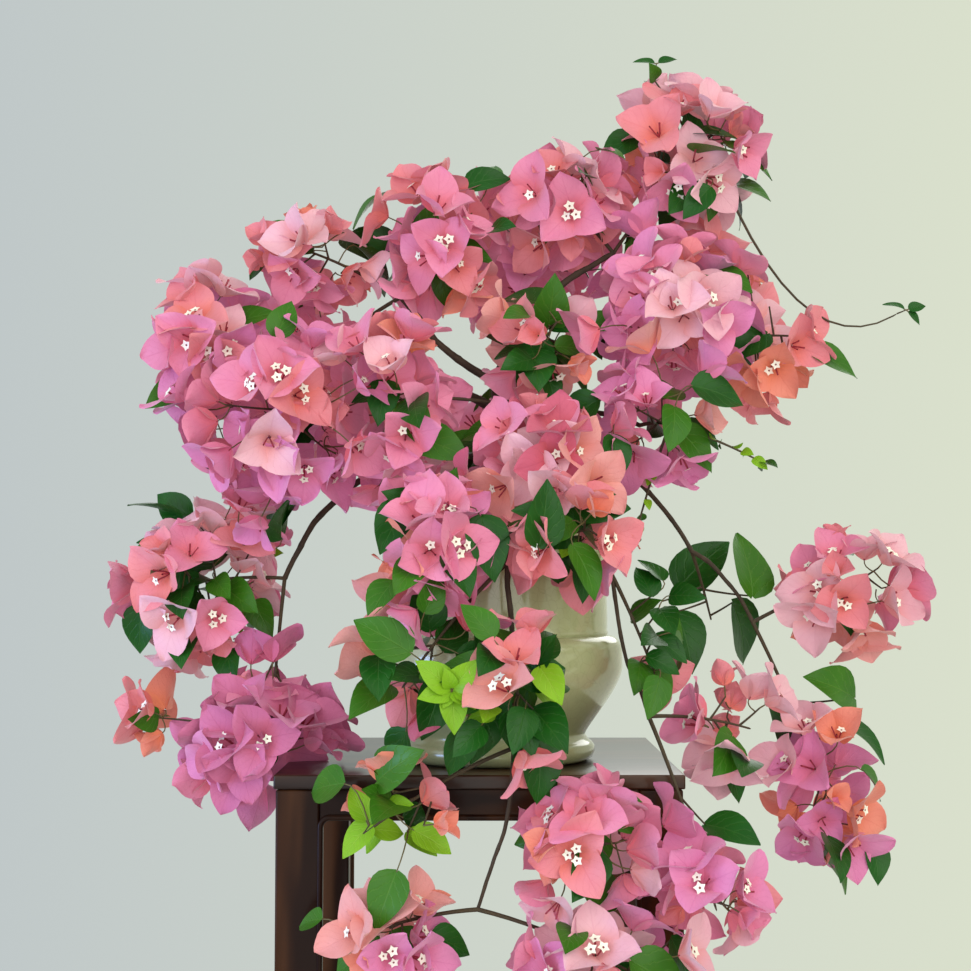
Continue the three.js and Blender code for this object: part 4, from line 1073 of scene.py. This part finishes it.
for index, mass in enumerate(masses):
    draw = np.random.default_rng(9000 + index)
    dealt = DEALT[mass.name].split()
    for blade in mass.sprays:
        tone = dealt[draw.integers(len(dealt))]
        satellites = SATELLITES.get(mass.name, COMMON_SATELLITES)
        add_spray(draw, blade, "coral" if blade.on_runner else tone, satellites)
    for start, blade in mass.side_blossoms:
        tone = dealt[draw.integers(len(dealt))]
        add_twig(heaps["stalk"], start, blade.root, STALK, blade.heading)
        opening = float(draw.choice(OPENINGS[1:]))
        flowers = int(draw.choice([0, 0, 1, 2]))
        size = draw.uniform(0.78, 0.98)
        add_blossom(draw, blade.root, blade.heading, blade.spin, size, opening, tone, flowers)
print("bracts by tone:", {tone: len(heaps[tone].points) for tone in TONES})

# %% [markdown]
# ## Leaves
# The leaves are glossy, ovate and pointed, with a fold along the rib. Old ones are dark, the
# ones at the ends of shoots are lime green. A leaf turns its face to the window on its stalk, so
# each is turned about its own rib; left flat, they would all be seen edge on from the front.

# %% Leaf shapes
LEAF_ROWS = np.array([0.0, 0.04, 0.11, 0.21, 0.33, 0.46, 0.6, 0.73, 0.84, 0.93, 1.0])
LEAF_HALF_WIDTHS = np.array([0.06, 0.48, 0.8, 0.96, 1.0, 0.95, 0.81, 0.61, 0.39, 0.18, 0.02])
LEAF_COLUMNS = np.array([-1.0, -0.5, 0.0, 0.5, 1.0])
LEAF_FACES = grid_faces(len(LEAF_ROWS), len(LEAF_COLUMNS))
LEAF_FLAT = np.array([[(u + 1) / 2, v] for v in LEAF_ROWS for u in LEAF_COLUMNS])
# The fold, rise and droop are shares of the leaf; its wave and the notch at its stalk are in mm.
FOLD, RISE, DROOP, MARGIN_WAVE, NOTCH = 0.26, 0.1, 0.26, 1.3, 3.0
LEAF_KINDS = ("leaf_dark", "leaf_mid", "leaf_lime")
heaps.update({kind: Heap() for kind in LEAF_KINDS})


def leaf_grid(draw):
    """Points as sideways, along and up, for a leaf of the full length."""
    phase = draw.uniform(0, TURN)
    twist = draw.uniform(-0.25, 0.25)
    points = []
    for row, share in enumerate(LEAF_ROWS):
        for u in LEAF_COLUMNS:
            half = LEAF_WIDTH / 2 * LEAF_HALF_WIDTHS[row]
            fold = FOLD * abs(u) * half + twist * share * u * half
            wave = MARGIN_WAVE * u * u * math.sin(6 * share + phase + u)
            droop = LEAF_LENGTH * (RISE * share - DROOP * share * share)
            notch = NOTCH * abs(u) * (1 - share) ** 6
            points.append((u * half, LEAF_LENGTH * share - notch, fold + wave + droop))
    return np.array(points)


leaf_draw = np.random.default_rng(37)
leaf_grids = [leaf_grid(leaf_draw) for _ in range(VARIANTS)]

# %% One leaf, turned to the light
TO_WINDOW = np.array([0.2, -1.0, 0.3])
OWN_FACE, OUTWARD, RESTLESS, COMMON_PULL = 0.4, 0.5, 0.22, 0.8
# From this far back the window starts to pull, and it pulls fully this much further in front.
PULL_FROM, PULL_OVER = 90, 100
LEAF_STALK = (0.8, 0.6)


def turned_to_light(blade, draw, pull):
    """The way a leaf's upper side looks: outward, and in front towards the window."""
    x, y, _ = blade.hub
    in_front = min(1.0, max(0.0, (PULL_FROM - y) / PULL_OVER))
    outward = unit(np.array([x, y, 60.0]))
    wish = blade.face * OWN_FACE + outward * OUTWARD + TO_WINDOW * in_front * pull
    wish += draw.normal(size=3) * RESTLESS
    return unit(wish - blade.heading * (wish @ blade.heading))


def add_leaf_mesh(draw, start, blade, kind, growth=1.0, pull=COMMON_PULL):
    if norm(blade.root - start) > 1:
        add_twig(heaps["stalk"], start, blade.root, LEAF_STALK, blade.heading)
    side = unit(np.cross(blade.heading, turned_to_light(blade, draw, pull)))
    axes = np.array([side, blade.heading, np.cross(side, blade.heading)])
    grid = leaf_grids[draw.integers(len(leaf_grids))] * blade.scale * growth
    heaps[kind].add(blade.root + grid @ axes, LEAF_FACES, LEAF_FLAT)


# %% Leaves on their twigs
LIME_SHARE = {"rim_right": 0.12, "pot_front": 0.24, "skirt_left": 0.5, "pot_left": 0.1,
              "right_under": 0.15, "left_low": 0.08, "rim_left": 0.1, "cane_leaves": 0.0}
COMMON_LIME, DARK_SHARE = 0.06, 0.62
LEAF_GROWTH, LIME_GROWTH = {"cane_leaves": 1.22, "pot_right": 0.8}, 0.72
WINDOW_PULL = {"cane_leaves": 2.4}
# The long shoot on the right shows bare against the wall; no other leaf hangs in these two places.
SHOOT_GAPS = np.array([[275, 345, 925, 1010], [395, 450, 880, 960]])
# On the right cane no leaf is small or seen from its tip, and they hang this far apart.
EDGE_ON, SMALL, SIDE_BY_SIDE = 0.55, 0.86, 42.0

hung = []
for index, mass in enumerate(masses):
    draw = np.random.default_rng(7000 + index)
    for start, blade in mass.leaves:
        lime = draw.random() < LIME_SHARE.get(mass.name, COMMON_LIME)
        older = "leaf_dark" if draw.random() < DARK_SHARE else "leaf_mid"
        if in_gaps(SHOOT_GAPS, blade.hub):
            continue
        if mass.name == "cane_leaves":
            place = blade.hub[[0, 2]]
            hidden = abs(blade.heading[1]) > EDGE_ON or blade.scale < SMALL
            if hidden or any(norm(place - other) < SIDE_BY_SIDE for other in hung):
                continue
            hung.append(place)
        growth = LIME_GROWTH if lime else LEAF_GROWTH.get(mass.name, 1.0)
        pull = WINDOW_PULL.get(mass.name, COMMON_PULL)
        add_leaf_mesh(draw, start, blade, "leaf_lime" if lime else older, growth, pull)

# %% Sprouts and shoots
SPROUT_SHARES = (0.3, 0.42, 0.54, 0.66, 0.78, 0.88)
# At the tip of a long shoot: how far the shoot goes on, and the directions of its small leaves.
TIP_LEAVES = {"peak": ((2, 0, 19), [(-1, -0.1, 0.15), (1, -0.1, 0.3)]),
              "right_edge": ((10, 0, 4), [(0.9, 0, 0.25), (0.6, -0.1, -0.6), (-0.8, 0, 0.3)])}
# A young shoot in front of the pot: its lime leaves open round one tip, the last ones small.
YOUNG_TIP = np.array([-40.0, -266.0, 549.0])
YOUNG_SCALES = (0.66, 0.62, 0.58, 0.54, 0.48, 0.42, 0.34, 0.28)
sprout_draw = np.random.default_rng(83)


def add_sprout(start, lean, face, scale, kind, pull=COMMON_PULL):
    blade = leaf_blade(start + lean * 3, lean, face, scale)
    add_leaf_mesh(sprout_draw, start, blade, kind, pull=pull)


for line in by_name["right_under"].runners:
    heading = heading_at_tip(line.curve)
    first, second = crossways(heading)
    for k, share in enumerate(SPROUT_SHARES):
        side, kind = (1, "leaf_lime") if k % 2 else (-1, "leaf_mid")
        lean = unit(heading * 0.6 + first * side + sprout_draw.normal(size=3) * 0.3)
        add_sprout(along(line.curve, share), lean, second, sprout_draw.uniform(0.16, 0.3), kind)
for name, (shift, directions) in TIP_LEAVES.items():
    tip = by_name[name].runners[0].tip
    end = tip + shift
    add_twig(heaps["twig"], tip, end, (0.9, 0.6), sag=0)
    for way in directions:
        add_sprout(end, unit(np.array(way)), UP, sprout_draw.uniform(0.28, 0.36), "leaf_dark")
young_root = nearest_on_twigs(by_name["pot_front"], YOUNG_TIP)
add_twig(heaps["stalk"], young_root, YOUNG_TIP, (1.2, 0.9))
for k, scale in enumerate(YOUNG_SCALES):
    angle = k * GOLDEN_ANGLE
    lean = unit(np.array([math.cos(angle), -0.2 - 0.09 * k, math.sin(angle)]))
    add_sprout(YOUNG_TIP, lean, UP, scale, "leaf_lime", pull=2.0)
print("leaves:", {kind: len(heaps[kind].points) for kind in LEAF_KINDS})

# %% [markdown]
# ## Stems and twigs
# Every mass has one stem from its limb's tip, and twigs and runners leave it. All are plain
# tubes: a twig only has to be thin, bent and in the right place. The long runner on the right
# hangs down from the peak before it reaches out, as it does in the photograph.

# %% Stems
STEM_RADII, RUNNER_RADII, TWIG_END = (STEM_RADIUS, 1.1), (1.7, 0.9), 0.9
SHARES = np.append(np.linspace(0, 0.98, 11), [0.993, 1])
ROUNDED_TIP = (0.7, 0.1)
by_name["right_edge"].runners[0].curve[:2] = (262, 5, 1050), (338, -18, 876)
for mass in masses:
    rods = [(mass.stem, STEM_RADII)] + [(line.curve, RUNNER_RADII) for line in mass.runners]
    for curve, (thick, thin) in rods:
        sizes = thick + (thin - thick) * SHARES
        sizes[-2:] *= ROUNDED_TIP
        heaps["twig"].add(*tube(along(curve, SHARES), sizes, 6))
    for root, end in mass.twigs:
        add_twig(heaps["twig"], root, end, (TWIG_RADIUS, TWIG_END), sag=0.03)
print("stems and twigs:", len(heaps["twig"].points))

# %% [markdown]
# ## Bark
# The trunk flares at the soil with a few ribs. The limbs carry rings where leaves once sat, and
# bend a little at each, like knees. A displace modifier would roughen them too, but relief laid
# into the rings of the tube follows each limb.

# %% Trunk and boughs
TRUNK_SIDES, LIMB_SIDES, RING_SPACING = 24, 14, 4.0
KNEE_SPACING, KNEE_OFFSET, KNEE_WIDTH, KNEE_SWELL = 38.0, 2.6, 3.2, 0.13
RIDGE, ROUGHNESS = 0.045, 0.025
FLARE_SHARE, FLARE_RADIUS, RIB_SHARE, RIB = 0.18, 6, 0.36, 0.14
# Limbs are drawn slimmer than the solids, by these shares at root and tip.
DRAWN_SHARES = {"trunk": (1.0, 1.0), "bough": (0.85, 0.66), "cane": (0.66, 0.55),
                "cascade": (0.7, 0.58)}
bark = Heap()


def bark_radii(draw, radius, share, angles, length):
    ridges = RIDGE * np.sin(5 * angles + 9 * share + 3 * math.sin(7 * share))
    from_knee = (share * length) % KNEE_SPACING - KNEE_SPACING / 2
    knee = KNEE_SWELL * math.exp(-(from_knee / KNEE_WIDTH) ** 2)
    return radius * (1 + ridges + knee + draw.normal(scale=ROUGHNESS, size=len(angles)))


def add_limb(index, name):
    curve, radii = limbs[name]
    is_trunk = name == "trunk"
    draw = np.random.default_rng(300 + index)
    length = length_of(curve)
    rings = math.ceil(length / RING_SPACING)
    thick, thin = np.multiply(radii, DRAWN_SHARES[name.split("_")[0]])
    sides = TRUNK_SIDES if is_trunk else LIMB_SIDES
    angles = np.arange(sides) / sides * TURN
    heading = heading_at_tip(curve)
    beside, above = crossways(heading)
    knees = math.ceil(length / KNEE_SPACING) + 1
    bends = draw.uniform(-KNEE_OFFSET, KNEE_OFFSET, (2, knees + 1)) * (0 if is_trunk else 1)
    bends[:, 0] = bends[:, -1] = 0
    path, sizes = [], []
    for row in range(rings + 1):
        share = row / rings
        radius = thick * (1 - share) + thin * share
        if is_trunk:
            radius += FLARE_RADIUS * max(0.0, 1 - share / FLARE_SHARE) ** 2
        size = bark_radii(draw, radius, share, angles, length)
        if is_trunk:
            size *= 1 + RIB * max(0.0, 1 - share / RIB_SHARE) * np.cos(3 * angles)
        off = [float(np.interp(share * knees, range(knees + 1), line)) for line in bends]
        path.append(along(curve, share) + beside * off[0] + above * off[1])
        sizes.append(size)
    for share in (0.5, 0.85, 1.0):  # a rounded end
        path.append(curve[2] + heading * share * thin)
        sizes.append(np.full(sides, thin * max(0.08, math.sqrt(1 - share * share))))
    bark.add(*tube(np.array(path), sizes, sides))


for index, name in enumerate(limbs):
    add_limb(index, name)
print("bark rings:", sum(len(points) for points in bark.points))


# %% [markdown]
# ## Finishes of the plant
# A bract is soft and dull with fine veins; a leaf is darker, with a waxy gloss. Both trees read
# the flat coordinates of their grid, so the veins run from the rib to the margin.
# A bract is thin as paper, so even deep in a spray it shines a little with light that came through
# its neighbours. See-through shading would do that, but it is lost in an exported model, so each
# bract has a faint even glow of its own colour.

# %% Plant finishes
PASSED_LIGHT = 0.125


def veins_of(tree, count, slant):
    """Lines for the veins, and the share of the way from the root of the blade to its tip."""
    across = node(tree, "SeparateXYZ", "X", {"Vector": node(tree, "UVMap", "UV", uv_map="flat")})
    share = across.node.outputs["Y"]
    off = calc(tree, "ABSOLUTE", calc(tree, "SUBTRACT", across, 0.5))
    rib = fade(tree, off, 0.0, 0.03)
    rise = scaled(tree, off, slant)
    order = scaled(tree, calc(tree, "SUBTRACT", share, rise), float(count))
    wander = scaled(tree, noise(tree, 240.0, 2.0), 0.7)
    from_line = calc(tree, "PINGPONG", calc(tree, "ADD", order, wander), 0.5)
    side = scaled(tree, fade(tree, from_line, 0.0, 0.13), 0.6)
    return calc(tree, "MAXIMUM", rib, side), share


def bract_finish(name, base, vein, root):
    material, tree, shader = new_finish(name, 0.62, Sheen_Weight=0.25, Specular_IOR_Level=0.3,
                                        Emission_Color=base, Emission_Strength=PASSED_LIGHT)
    veins, share = veins_of(tree, 6, 0.9)
    shaded = mixed(tree, noise(tree, 34.0, 2.0), base, vein)
    rooted = mixed(tree, scaled(tree, fade(tree, share, 0.05, 0.6), 0.85), shaded, root)
    lined = mixed(tree, scaled(tree, veins, 0.4), rooted, vein)
    relief = calc(tree, "ADD", scaled(tree, veins, -0.6), noise(tree, 420.0, 3.0))
    dress(tree, shader, lined, relief, 0.45, 0.0008)
    return material


def leaf_finish(name, base, shade, vein, gloss):
    material, tree, shader = new_finish(name, gloss, Coat_Weight=0.05, Coat_Roughness=0.3,
                                        Specular_IOR_Level=0.2)
    veins, _ = veins_of(tree, 5, 0.8)
    mottled = mixed(tree, noise(tree, 26.0, 3.0), base, shade)
    lined = mixed(tree, scaled(tree, veins, 0.18), mottled, vein)
    dress(tree, shader, lined, scaled(tree, veins, -1.0), 0.5, 0.0007)
    return material


def plain_finish(name, first, second, scale, roughness, strength, stretch=(1.0, 1.0, 1.0)):
    material, tree, shader = new_finish(name, roughness)
    grain = noise(tree, scale, 4.0, stretch)
    dress(tree, shader, mixed(tree, grain, colour(*first), colour(*second)), grain, strength, 0.001)
    return material


# %% Colours of the plant
# Of a bract: between the veins, along them, and at its root.
BRACT_COLOURS = {
    "rose": ((218, 137, 167), (197, 99, 134), (214, 100, 104)),
    "mauve": ((214, 133, 174), (190, 97, 146), (206, 99, 123)),
    "coral": ((217, 136, 145), (199, 100, 111), (214, 104, 80)),
    "salmon": ((219, 156, 154), (203, 121, 120), (214, 119, 89)),
    "pale": ((223, 178, 187), (208, 143, 163), (219, 132, 124)),
    "magenta": ((198, 112, 148), (166, 76, 118), (192, 88, 114)),
    "deep": ((201, 99, 124), (171, 67, 94), (191, 73, 76)),
    "orange": ((221, 139, 120), (205, 107, 93), (218, 118, 73)),
}
# Of a leaf: light and dark parts, veins; then how rough its gloss is.
LEAF_COLOURS = {
    "leaf_dark": ((30, 92, 22), (14, 60, 14), (84, 132, 56), 0.34),
    "leaf_mid": ((64, 118, 24), (38, 88, 18), (116, 152, 64), 0.36),
    "leaf_lime": ((140, 186, 36), (104, 154, 26), (188, 210, 100), 0.42),
}
# Name, two colours, size of the grain, roughness, relief and, for the bark, how it is drawn out.
PLAIN_FINISHES = {
    "star": ("flower_white", (250, 248, 240), (236, 234, 214), 300, 0.5, 0.1),
    # The throat's dark red is partly the tube's colour and partly painted shade of the tube's
    # hollow mouth.
    "throat": ("flower_throat", (96, 20, 44), (150, 60, 60), 300, 0.6, 0.1),
    "tube": ("flower_tube", (140, 34, 62), (186, 78, 92), 200, 0.55, 0.1),
    "twig": ("twig_bark", (50, 40, 28), (82, 68, 44), 160, 0.75, 0.4),
    "stalk": ("green_stalk", (84, 92, 44), (104, 74, 48), 120, 0.6, 0.2),
    "bark": ("old_bark", (38, 30, 24), (84, 68, 52), 90, 0.85, 0.9, (1.0, 1.0, 0.5)),
}
finishes = {kind: plain_finish(*row) for kind, row in PLAIN_FINISHES.items()}
for tone, shades in BRACT_COLOURS.items():
    finishes[tone] = bract_finish("bract_" + tone, *colours(shades))
for kind, (*shades, gloss) in LEAF_COLOURS.items():
    finishes[kind] = leaf_finish(kind, *colours(shades), gloss)
print("finishes:", len(finishes))

# %% [markdown]
# ## The plant's pieces
# Each heap becomes one piece with one finish. They are kept apart by kind, so that a bract, a
# leaf or the bark can be changed alone, and one piece for the whole plant would be too heavy.

# %% Plant pieces
PIECE_NAMES = {
    **{tone: "bracts_" + tone for tone in TONES}, "star": "white_flowers",
    "throat": "flower_throats", "tube": "flower_tubes", "stalk": "green_stalks",
    "twig": "stems_and_twigs", "leaf_dark": "leaves_dark", "leaf_mid": "leaves_mid",
    "leaf_lime": "leaves_lime",
}
MASS_NODES = list(by_name)
place_piece("trunk_and_boughs", bark.mesh("trunk_and_boughs"), finishes["bark"], limbs)
for kind, name in PIECE_NAMES.items():
    replaced = MASS_NODES if kind in ("rose", "twig") else ()
    place_piece(name, heaps[kind].mesh(name), finishes[kind], replaced)

# %% [markdown]
# ## The pot
# A thrown pot is a turned profile: a rounded foot, a waist, a full belly, a ring line where the
# neck begins, and a soft lip. The glaze is a pale olive green. It is painted darker at the foot and
# waist, as shade under the belly, and faint crackle lines run through it; both are read from the
# place on the pot, so they stay put however the pot is turned.

# %% Pot
POT_SIDES, OFF_ROUND = 96, 0.0012
FOOT = [(1, 0), (92, 0), (98, 0.6), (103.5, 4), (106, 10.4), (105.2, 16), (102.5, 19.4),
        (101.2, 20.2), (99.6, 21.6), (96.8, 25), (95.5, 27)]


def curve_2d(points, steps):
    """A smooth curve that starts at the first point and ends at the fourth; without its start."""
    a, b, c, d = np.array(points, float)
    shares = np.linspace(0, 1, steps + 1)[1:, None]
    rest = 1 - shares
    return rest**3 * a + 3 * rest**2 * shares * b + 3 * rest * shares**2 * c + shares**3 * d


belly = curve_2d([(95.5, 28), (104, 44), (135.5, 78), (135.5, 100)], 20)
turn = np.linspace(0, math.pi / 2, 13)[1:]
shoulder = np.stack([119.5 + 16 * np.cos(turn), 115 + 16 * np.sin(turn)], 1)
neck = [(119.5, 131.6), (120.4, 132.4), (120.6, 133.6), (120.0, 134.8), (119.4, 136)]
neck += [(119.4 + 0.5 * math.sin(h / 17), h) for h in range(146, 270, 12)]
lip = [(119.9, 273), (119.6, 277), (118.2, 279.4), (115.8, 280), (113.8, 279), (112.6, 276)]
inside = [(112.5, 262), (112.5, 250)]
profile = np.vstack([FOOT, belly, shoulder, neck, lip, inside])


# Thrown by hand, so it is a hair off round.
angles = np.arange(POT_SIDES) / POT_SIDES * TURN
radius = profile[:, :1] * (1 + OFF_ROUND * np.cos(2 * angles + 0.7))
height = np.repeat(profile[:, 1:], POT_SIDES, axis=1) + STAND_HEIGHT + GAP
points = np.stack([radius * np.cos(angles), radius * np.sin(angles), height], -1).reshape(-1, 3)
flat = np.stack(np.meshgrid(angles / TURN, np.linspace(0, 1, len(profile))), -1).reshape(-1, 2)
pot = Heap()
pot.add(points, grid_faces(len(profile), POT_SIDES, closed=True), flat)

# %% Glaze
# Below this level the glaze is painted darker, as shade under the belly; the painted shade fades
# out over this height.
WAIST_LEVEL, WAIST_SHADE_HEIGHT = 0.488, 0.06  # in metres
glaze, tree, shader = new_finish("celadon_glaze", 0.16, Coat_Weight=0.6, Coat_Roughness=0.06)
glazed = mixed(tree, noise(tree, 9.0, 3.0), colour(190, 193, 148), colour(164, 169, 124))
place = {"Vector": node(tree, "TexCoord", "Object")}
from_crack = node(tree, "TexVoronoi", "Distance", {"Scale": 85.0, **place},
                  feature="DISTANCE_TO_EDGE")
level = node(tree, "SeparateXYZ", "Z", place)
# Crackle, painted shade at the foot and waist under the belly, and specks: where, how strong,
# colour.
for mask, share, tint in (
        (fade(tree, from_crack, 0.0, 0.035), 0.22, (120, 118, 80)),
        (fade(tree, level, WAIST_LEVEL, WAIST_LEVEL + WAIST_SHADE_HEIGHT), 0.5, (116, 120, 78)),
        (fade(tree, noise(tree, 150.0, 2.0), 0.3, 0.36), 0.12, (120, 122, 88))):
    glazed = mixed(tree, scaled(tree, mask, share), glazed, colour(*tint))
dress(tree, shader, glazed, noise(tree, 22.0, 2.0), 0.12, 0.002)
place_piece("celadon_pot", pot.mesh("celadon_pot"), glaze, ["pot"])

# %% [markdown]
# ## The soil
# The soil is a crumbly disc a little below the lip, higher round the trunk. Single crumbs would
# cost many faces, and only a glimpse of it shows, so rings with uneven heights stand in for them.

# %% Soil
soil_draw = np.random.default_rng(5)
SOIL_RINGS, SOIL_SIDES, SOIL_RADIUS, SOIL_DEPTH = 34, 90, 112.2, 14
SINK, MOUND, MOUND_RADIUS, SWELL = 2.5, 3.0, 36, 1.2
angles = [k / SOIL_SIDES * TURN for k in range(SOIL_SIDES)]
points = []
for ring in range(1, SOIL_RINGS + 1):
    radius = SOIL_RADIUS * ring / SOIL_RINGS
    mound = MOUND * math.exp(-(radius / MOUND_RADIUS) ** 2)
    for angle in angles:
        rough = soil_draw.normal(scale=1.0) if ring < SOIL_RINGS else 0.0
        height = SOIL_LEVEL - SINK + mound + SWELL * math.sin(radius / 9 + 3 * angle) + rough
        points.append((radius * math.cos(angle), radius * math.sin(angle), height))
points += [(SOIL_RADIUS * math.cos(angle), SOIL_RADIUS * math.sin(angle), SOIL_LEVEL - SOIL_DEPTH)
           for angle in angles]
points = np.array(points)
soil = Heap()
soil.add(points, grid_faces(SOIL_RINGS + 1, SOIL_SIDES, closed=True), points[:, :2] / 240 + 0.5)
soil_finish = plain_finish("potting_soil", (40, 30, 22), (92, 74, 54), 220, 0.95, 1.0)
place_piece("soil_surface", soil.mesh("soil_surface"), soil_finish, ["soil"])

# %% [markdown]
# ## The wood
# The stand is of a dark, red-brown hardwood, and its top is polished. The grain is a noise drawn
# out along each board, so there is one finish for each way a board can lie. A wood picture
# would repeat itself, and its figure would stop short at every corner.

# %% Wood finish
def wood_finish(name, stretch, polish):
    material, tree, shader = new_finish(name, 0.28, Specular_IOR_Level=0.22 * polish,
                                        Coat_Weight=0.1 * polish, Coat_Roughness=0.1)
    grain = noise(tree, 42.0, 6.0, stretch)
    streak = fade(tree, noise(tree, 16.0, 3.0, stretch), 0.4, 0.6)
    base = mixed(tree, streak, colour(84, 50, 28), colour(34, 15, 9))
    dark = mixed(tree, scaled(tree, grain, 0.5), base, colour(18, 9, 7))
    dress(tree, shader, dark, grain, 0.2, 0.0006)
    return material


DRAWN_OUT, POLISHED, PLAIN = 0.12, 1.0, 0.35
wood = {"top": wood_finish("hardwood_polished", (DRAWN_OUT, 1.0, 1.0), POLISHED)}
for k, axis in enumerate("xyz"):
    stretch = [1.0, 1.0, 1.0]
    stretch[k] = DRAWN_OUT
    wood[axis] = wood_finish("hardwood_along_" + axis, stretch, PLAIN)
print("ways the grain runs:", list(wood))

# %% [markdown]
# ## Boards and legs
# A joiner's stand: a square board on four square legs. A scaled cube would have razor edges, so
# each board is an outline drawn out to its length, and its edges are eased with a bevel.

# %% Boards and legs
LEG_WIDTH, TOP_THICKNESS, TOP_OVERHANG = 43.0, 14.0, 2.0
LEG_TOP = STAND_HEIGHT - TOP_THICKNESS - GAP
LEG_MIDDLE = STAND_WIDTH / 2 - TOP_OVERHANG - LEG_WIDTH / 2
SHARP = 0.6  # an edge that turns by more, in radians, gets a bevel


def shaped_block(outline, axis, low, high, bevel, name):
    """An outline drawn in the plane square to an axis, drawn out along it, its edges eased."""
    mesh = bpy.data.meshes.new(name)
    shape = bmesh.new()
    for level in (low, high):
        for corner in np.insert(np.array(outline, float), "xyz".index(axis), level, axis=1):
            shape.verts.new(metres(corner))
    shape.verts.ensure_lookup_table()
    count = len(outline)
    shape.faces.new([shape.verts[k] for k in range(count)])
    shape.faces.new([shape.verts[count + k] for k in reversed(range(count))])
    for k in range(count):
        following = (k + 1) % count
        corners = (k, count + k, count + following, following)
        shape.faces.new([shape.verts[corner] for corner in corners])
    bmesh.ops.recalc_face_normals(shape, faces=shape.faces)
    sharp = [edge for edge in shape.edges if edge.calc_face_angle(0) > SHARP]
    bmesh.ops.bevel(shape, geom=sharp, offset=bevel * 0.001, segments=3, affect="EDGES",
                    profile=0.6)
    shape.to_mesh(mesh)
    shape.free()
    mesh.shade_smooth()
    return mesh


def square(x, y, width):
    left, right, near, far = x - width / 2, x + width / 2, y - width / 2, y + width / 2
    return [(left, near), (right, near), (right, far), (left, far)]


middle_x, middle_y = STAND_MIDDLE
board = shaped_block(square(middle_x, middle_y, STAND_WIDTH), "z", STAND_HEIGHT - TOP_THICKNESS,
                     STAND_HEIGHT, 2.0, "top_board")
place_piece("top_board", board, wood["top"], ["stand_top"])
for deep, row in ((-1, "front"), (1, "back")):
    for across, side in ((-1, "left"), (1, "right")):
        name = f"leg_{row}_{side}"
        outline = square(middle_x + across * LEG_MIDDLE, middle_y + deep * LEG_MIDDLE, LEG_WIDTH)
        leg = shaped_block(outline, "z", 0, LEG_TOP, 3.0, name)
        place_piece(name, leg, wood["z"], ["stand_" + name])

# %% [markdown]
# ## Aprons and beads
# Under the board an apron runs from leg to leg and turns down to them in small round corners. A
# bead is worked along the edge of each opening. Carving it out of the wood would take a
# boolean; a slim rod swept round the opening and half sunk in the wood looks the same.

# %% Aprons and beads
APRON_DROP, APRON_THICKNESS, APRON_CORNER, APRON_SETBACK = 27.0, 20.0, 10.0, 1.5
APRON_HALF = LEG_MIDDLE - LEG_WIDTH / 2 - GAP
APRON_FACE = LEG_MIDDLE + LEG_WIDTH / 2 - APRON_SETBACK
BEAD_RADIUS, BEAD_SIDES, BEAD_SINK, BEAD_FOOT = 3.2, 10, 0.5, 1.0

# The lower edge of an apron from left to right: how far out from its middle, and how high.
angles = np.linspace(0, math.pi / 2, 9)
out = APRON_HALF - APRON_CORNER * (1 - np.cos(angles))
down = APRON_CORNER * np.sin(angles) - (APRON_DROP + APRON_CORNER)
corner = np.stack([out, LEG_TOP + down], 1)
lower_edge = np.vstack([corner * (-1, 1), corner[::-1]])


def between_legs(*heights):
    """The lower edge, with a point on each leg at these heights before it and after it."""
    ends = np.array([(APRON_HALF, height) for height in heights])
    return np.vstack([ends * (-1, 1), lower_edge, ends[::-1]])


# Each apron runs along one of the two axes and faces along the other.
for name, runs, sign in (("front", 0, -1), ("back", 0, 1), ("left", 1, -1), ("right", 1, 1)):
    faces = 1 - runs
    shift = (STAND_MIDDLE[runs], 0)
    near, far = sorted(STAND_MIDDLE[faces] + sign * (APRON_FACE - depth)
                       for depth in (0, APRON_THICKNESS))
    outline = between_legs(LEG_TOP) + shift
    apron = shaped_block(outline, "xy"[faces], near, far, 0.8, "apron_" + name)
    place_piece("apron_" + name, apron, wood["xy"[runs]], ["stand_apron_" + name])
    level = STAND_MIDDLE[faces] + sign * (APRON_FACE - BEAD_SINK)
    path = np.insert(between_legs(BEAD_FOOT, LEG_TOP / 2) + shift, faces, level, axis=1)
    bead = Heap()
    bead.add(*tube(path, np.full(len(path), BEAD_RADIUS), BEAD_SIDES))
    place_piece("bead_" + name, bead.mesh("bead_" + name), wood["z"])

# %% [markdown]
# ## Floor
# The floor is a plain disc, only there to catch the shadow. It isn't part of the object, so it is
# marked as a backdrop and the plant's bounds leave it out; a floor among the pieces would be
# exported with the plant.

# %% Floor
FLOOR_SIDES, FLOOR_RADIUS, BELOW_FEET = 96, 0.9, 0.001  # radius and depth in metres
floor_mesh = bpy.data.meshes.new("floor")
floor_shape = bmesh.new()
bmesh.ops.create_circle(floor_shape, cap_ends=True, segments=FLOOR_SIDES, radius=FLOOR_RADIUS)
floor_shape.to_mesh(floor_mesh)
floor_shape.free()
floor = bpy.data.objects.new("floor", floor_mesh)
floor.location.z = -BELOW_FEET
bpy.context.scene.collection.objects.link(floor)
floor_finish, tree, shader = new_finish("pale_floor", 0.8)
pale = mixed(tree, noise(tree, 6.0), colour(206, 210, 201), colour(214, 218, 209))
tree.links.new(pale, shader.inputs["Base Color"])
floor.data.materials.append(floor_finish)
floor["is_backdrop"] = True
print("floor radius:", FLOOR_RADIUS, "m")

# %% [markdown]
# ## Size
# How far the dressed plant stands proud of its solids is printed, from both boxes. The dressed
# plant may stand only a little proud of its solids.

# %% Size and end
low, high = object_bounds()
proud = [round(1000 * value, 1) for value in (*(cad_low - low), *(high - cad_high))]
print("proud of the solids, mm:", proud)
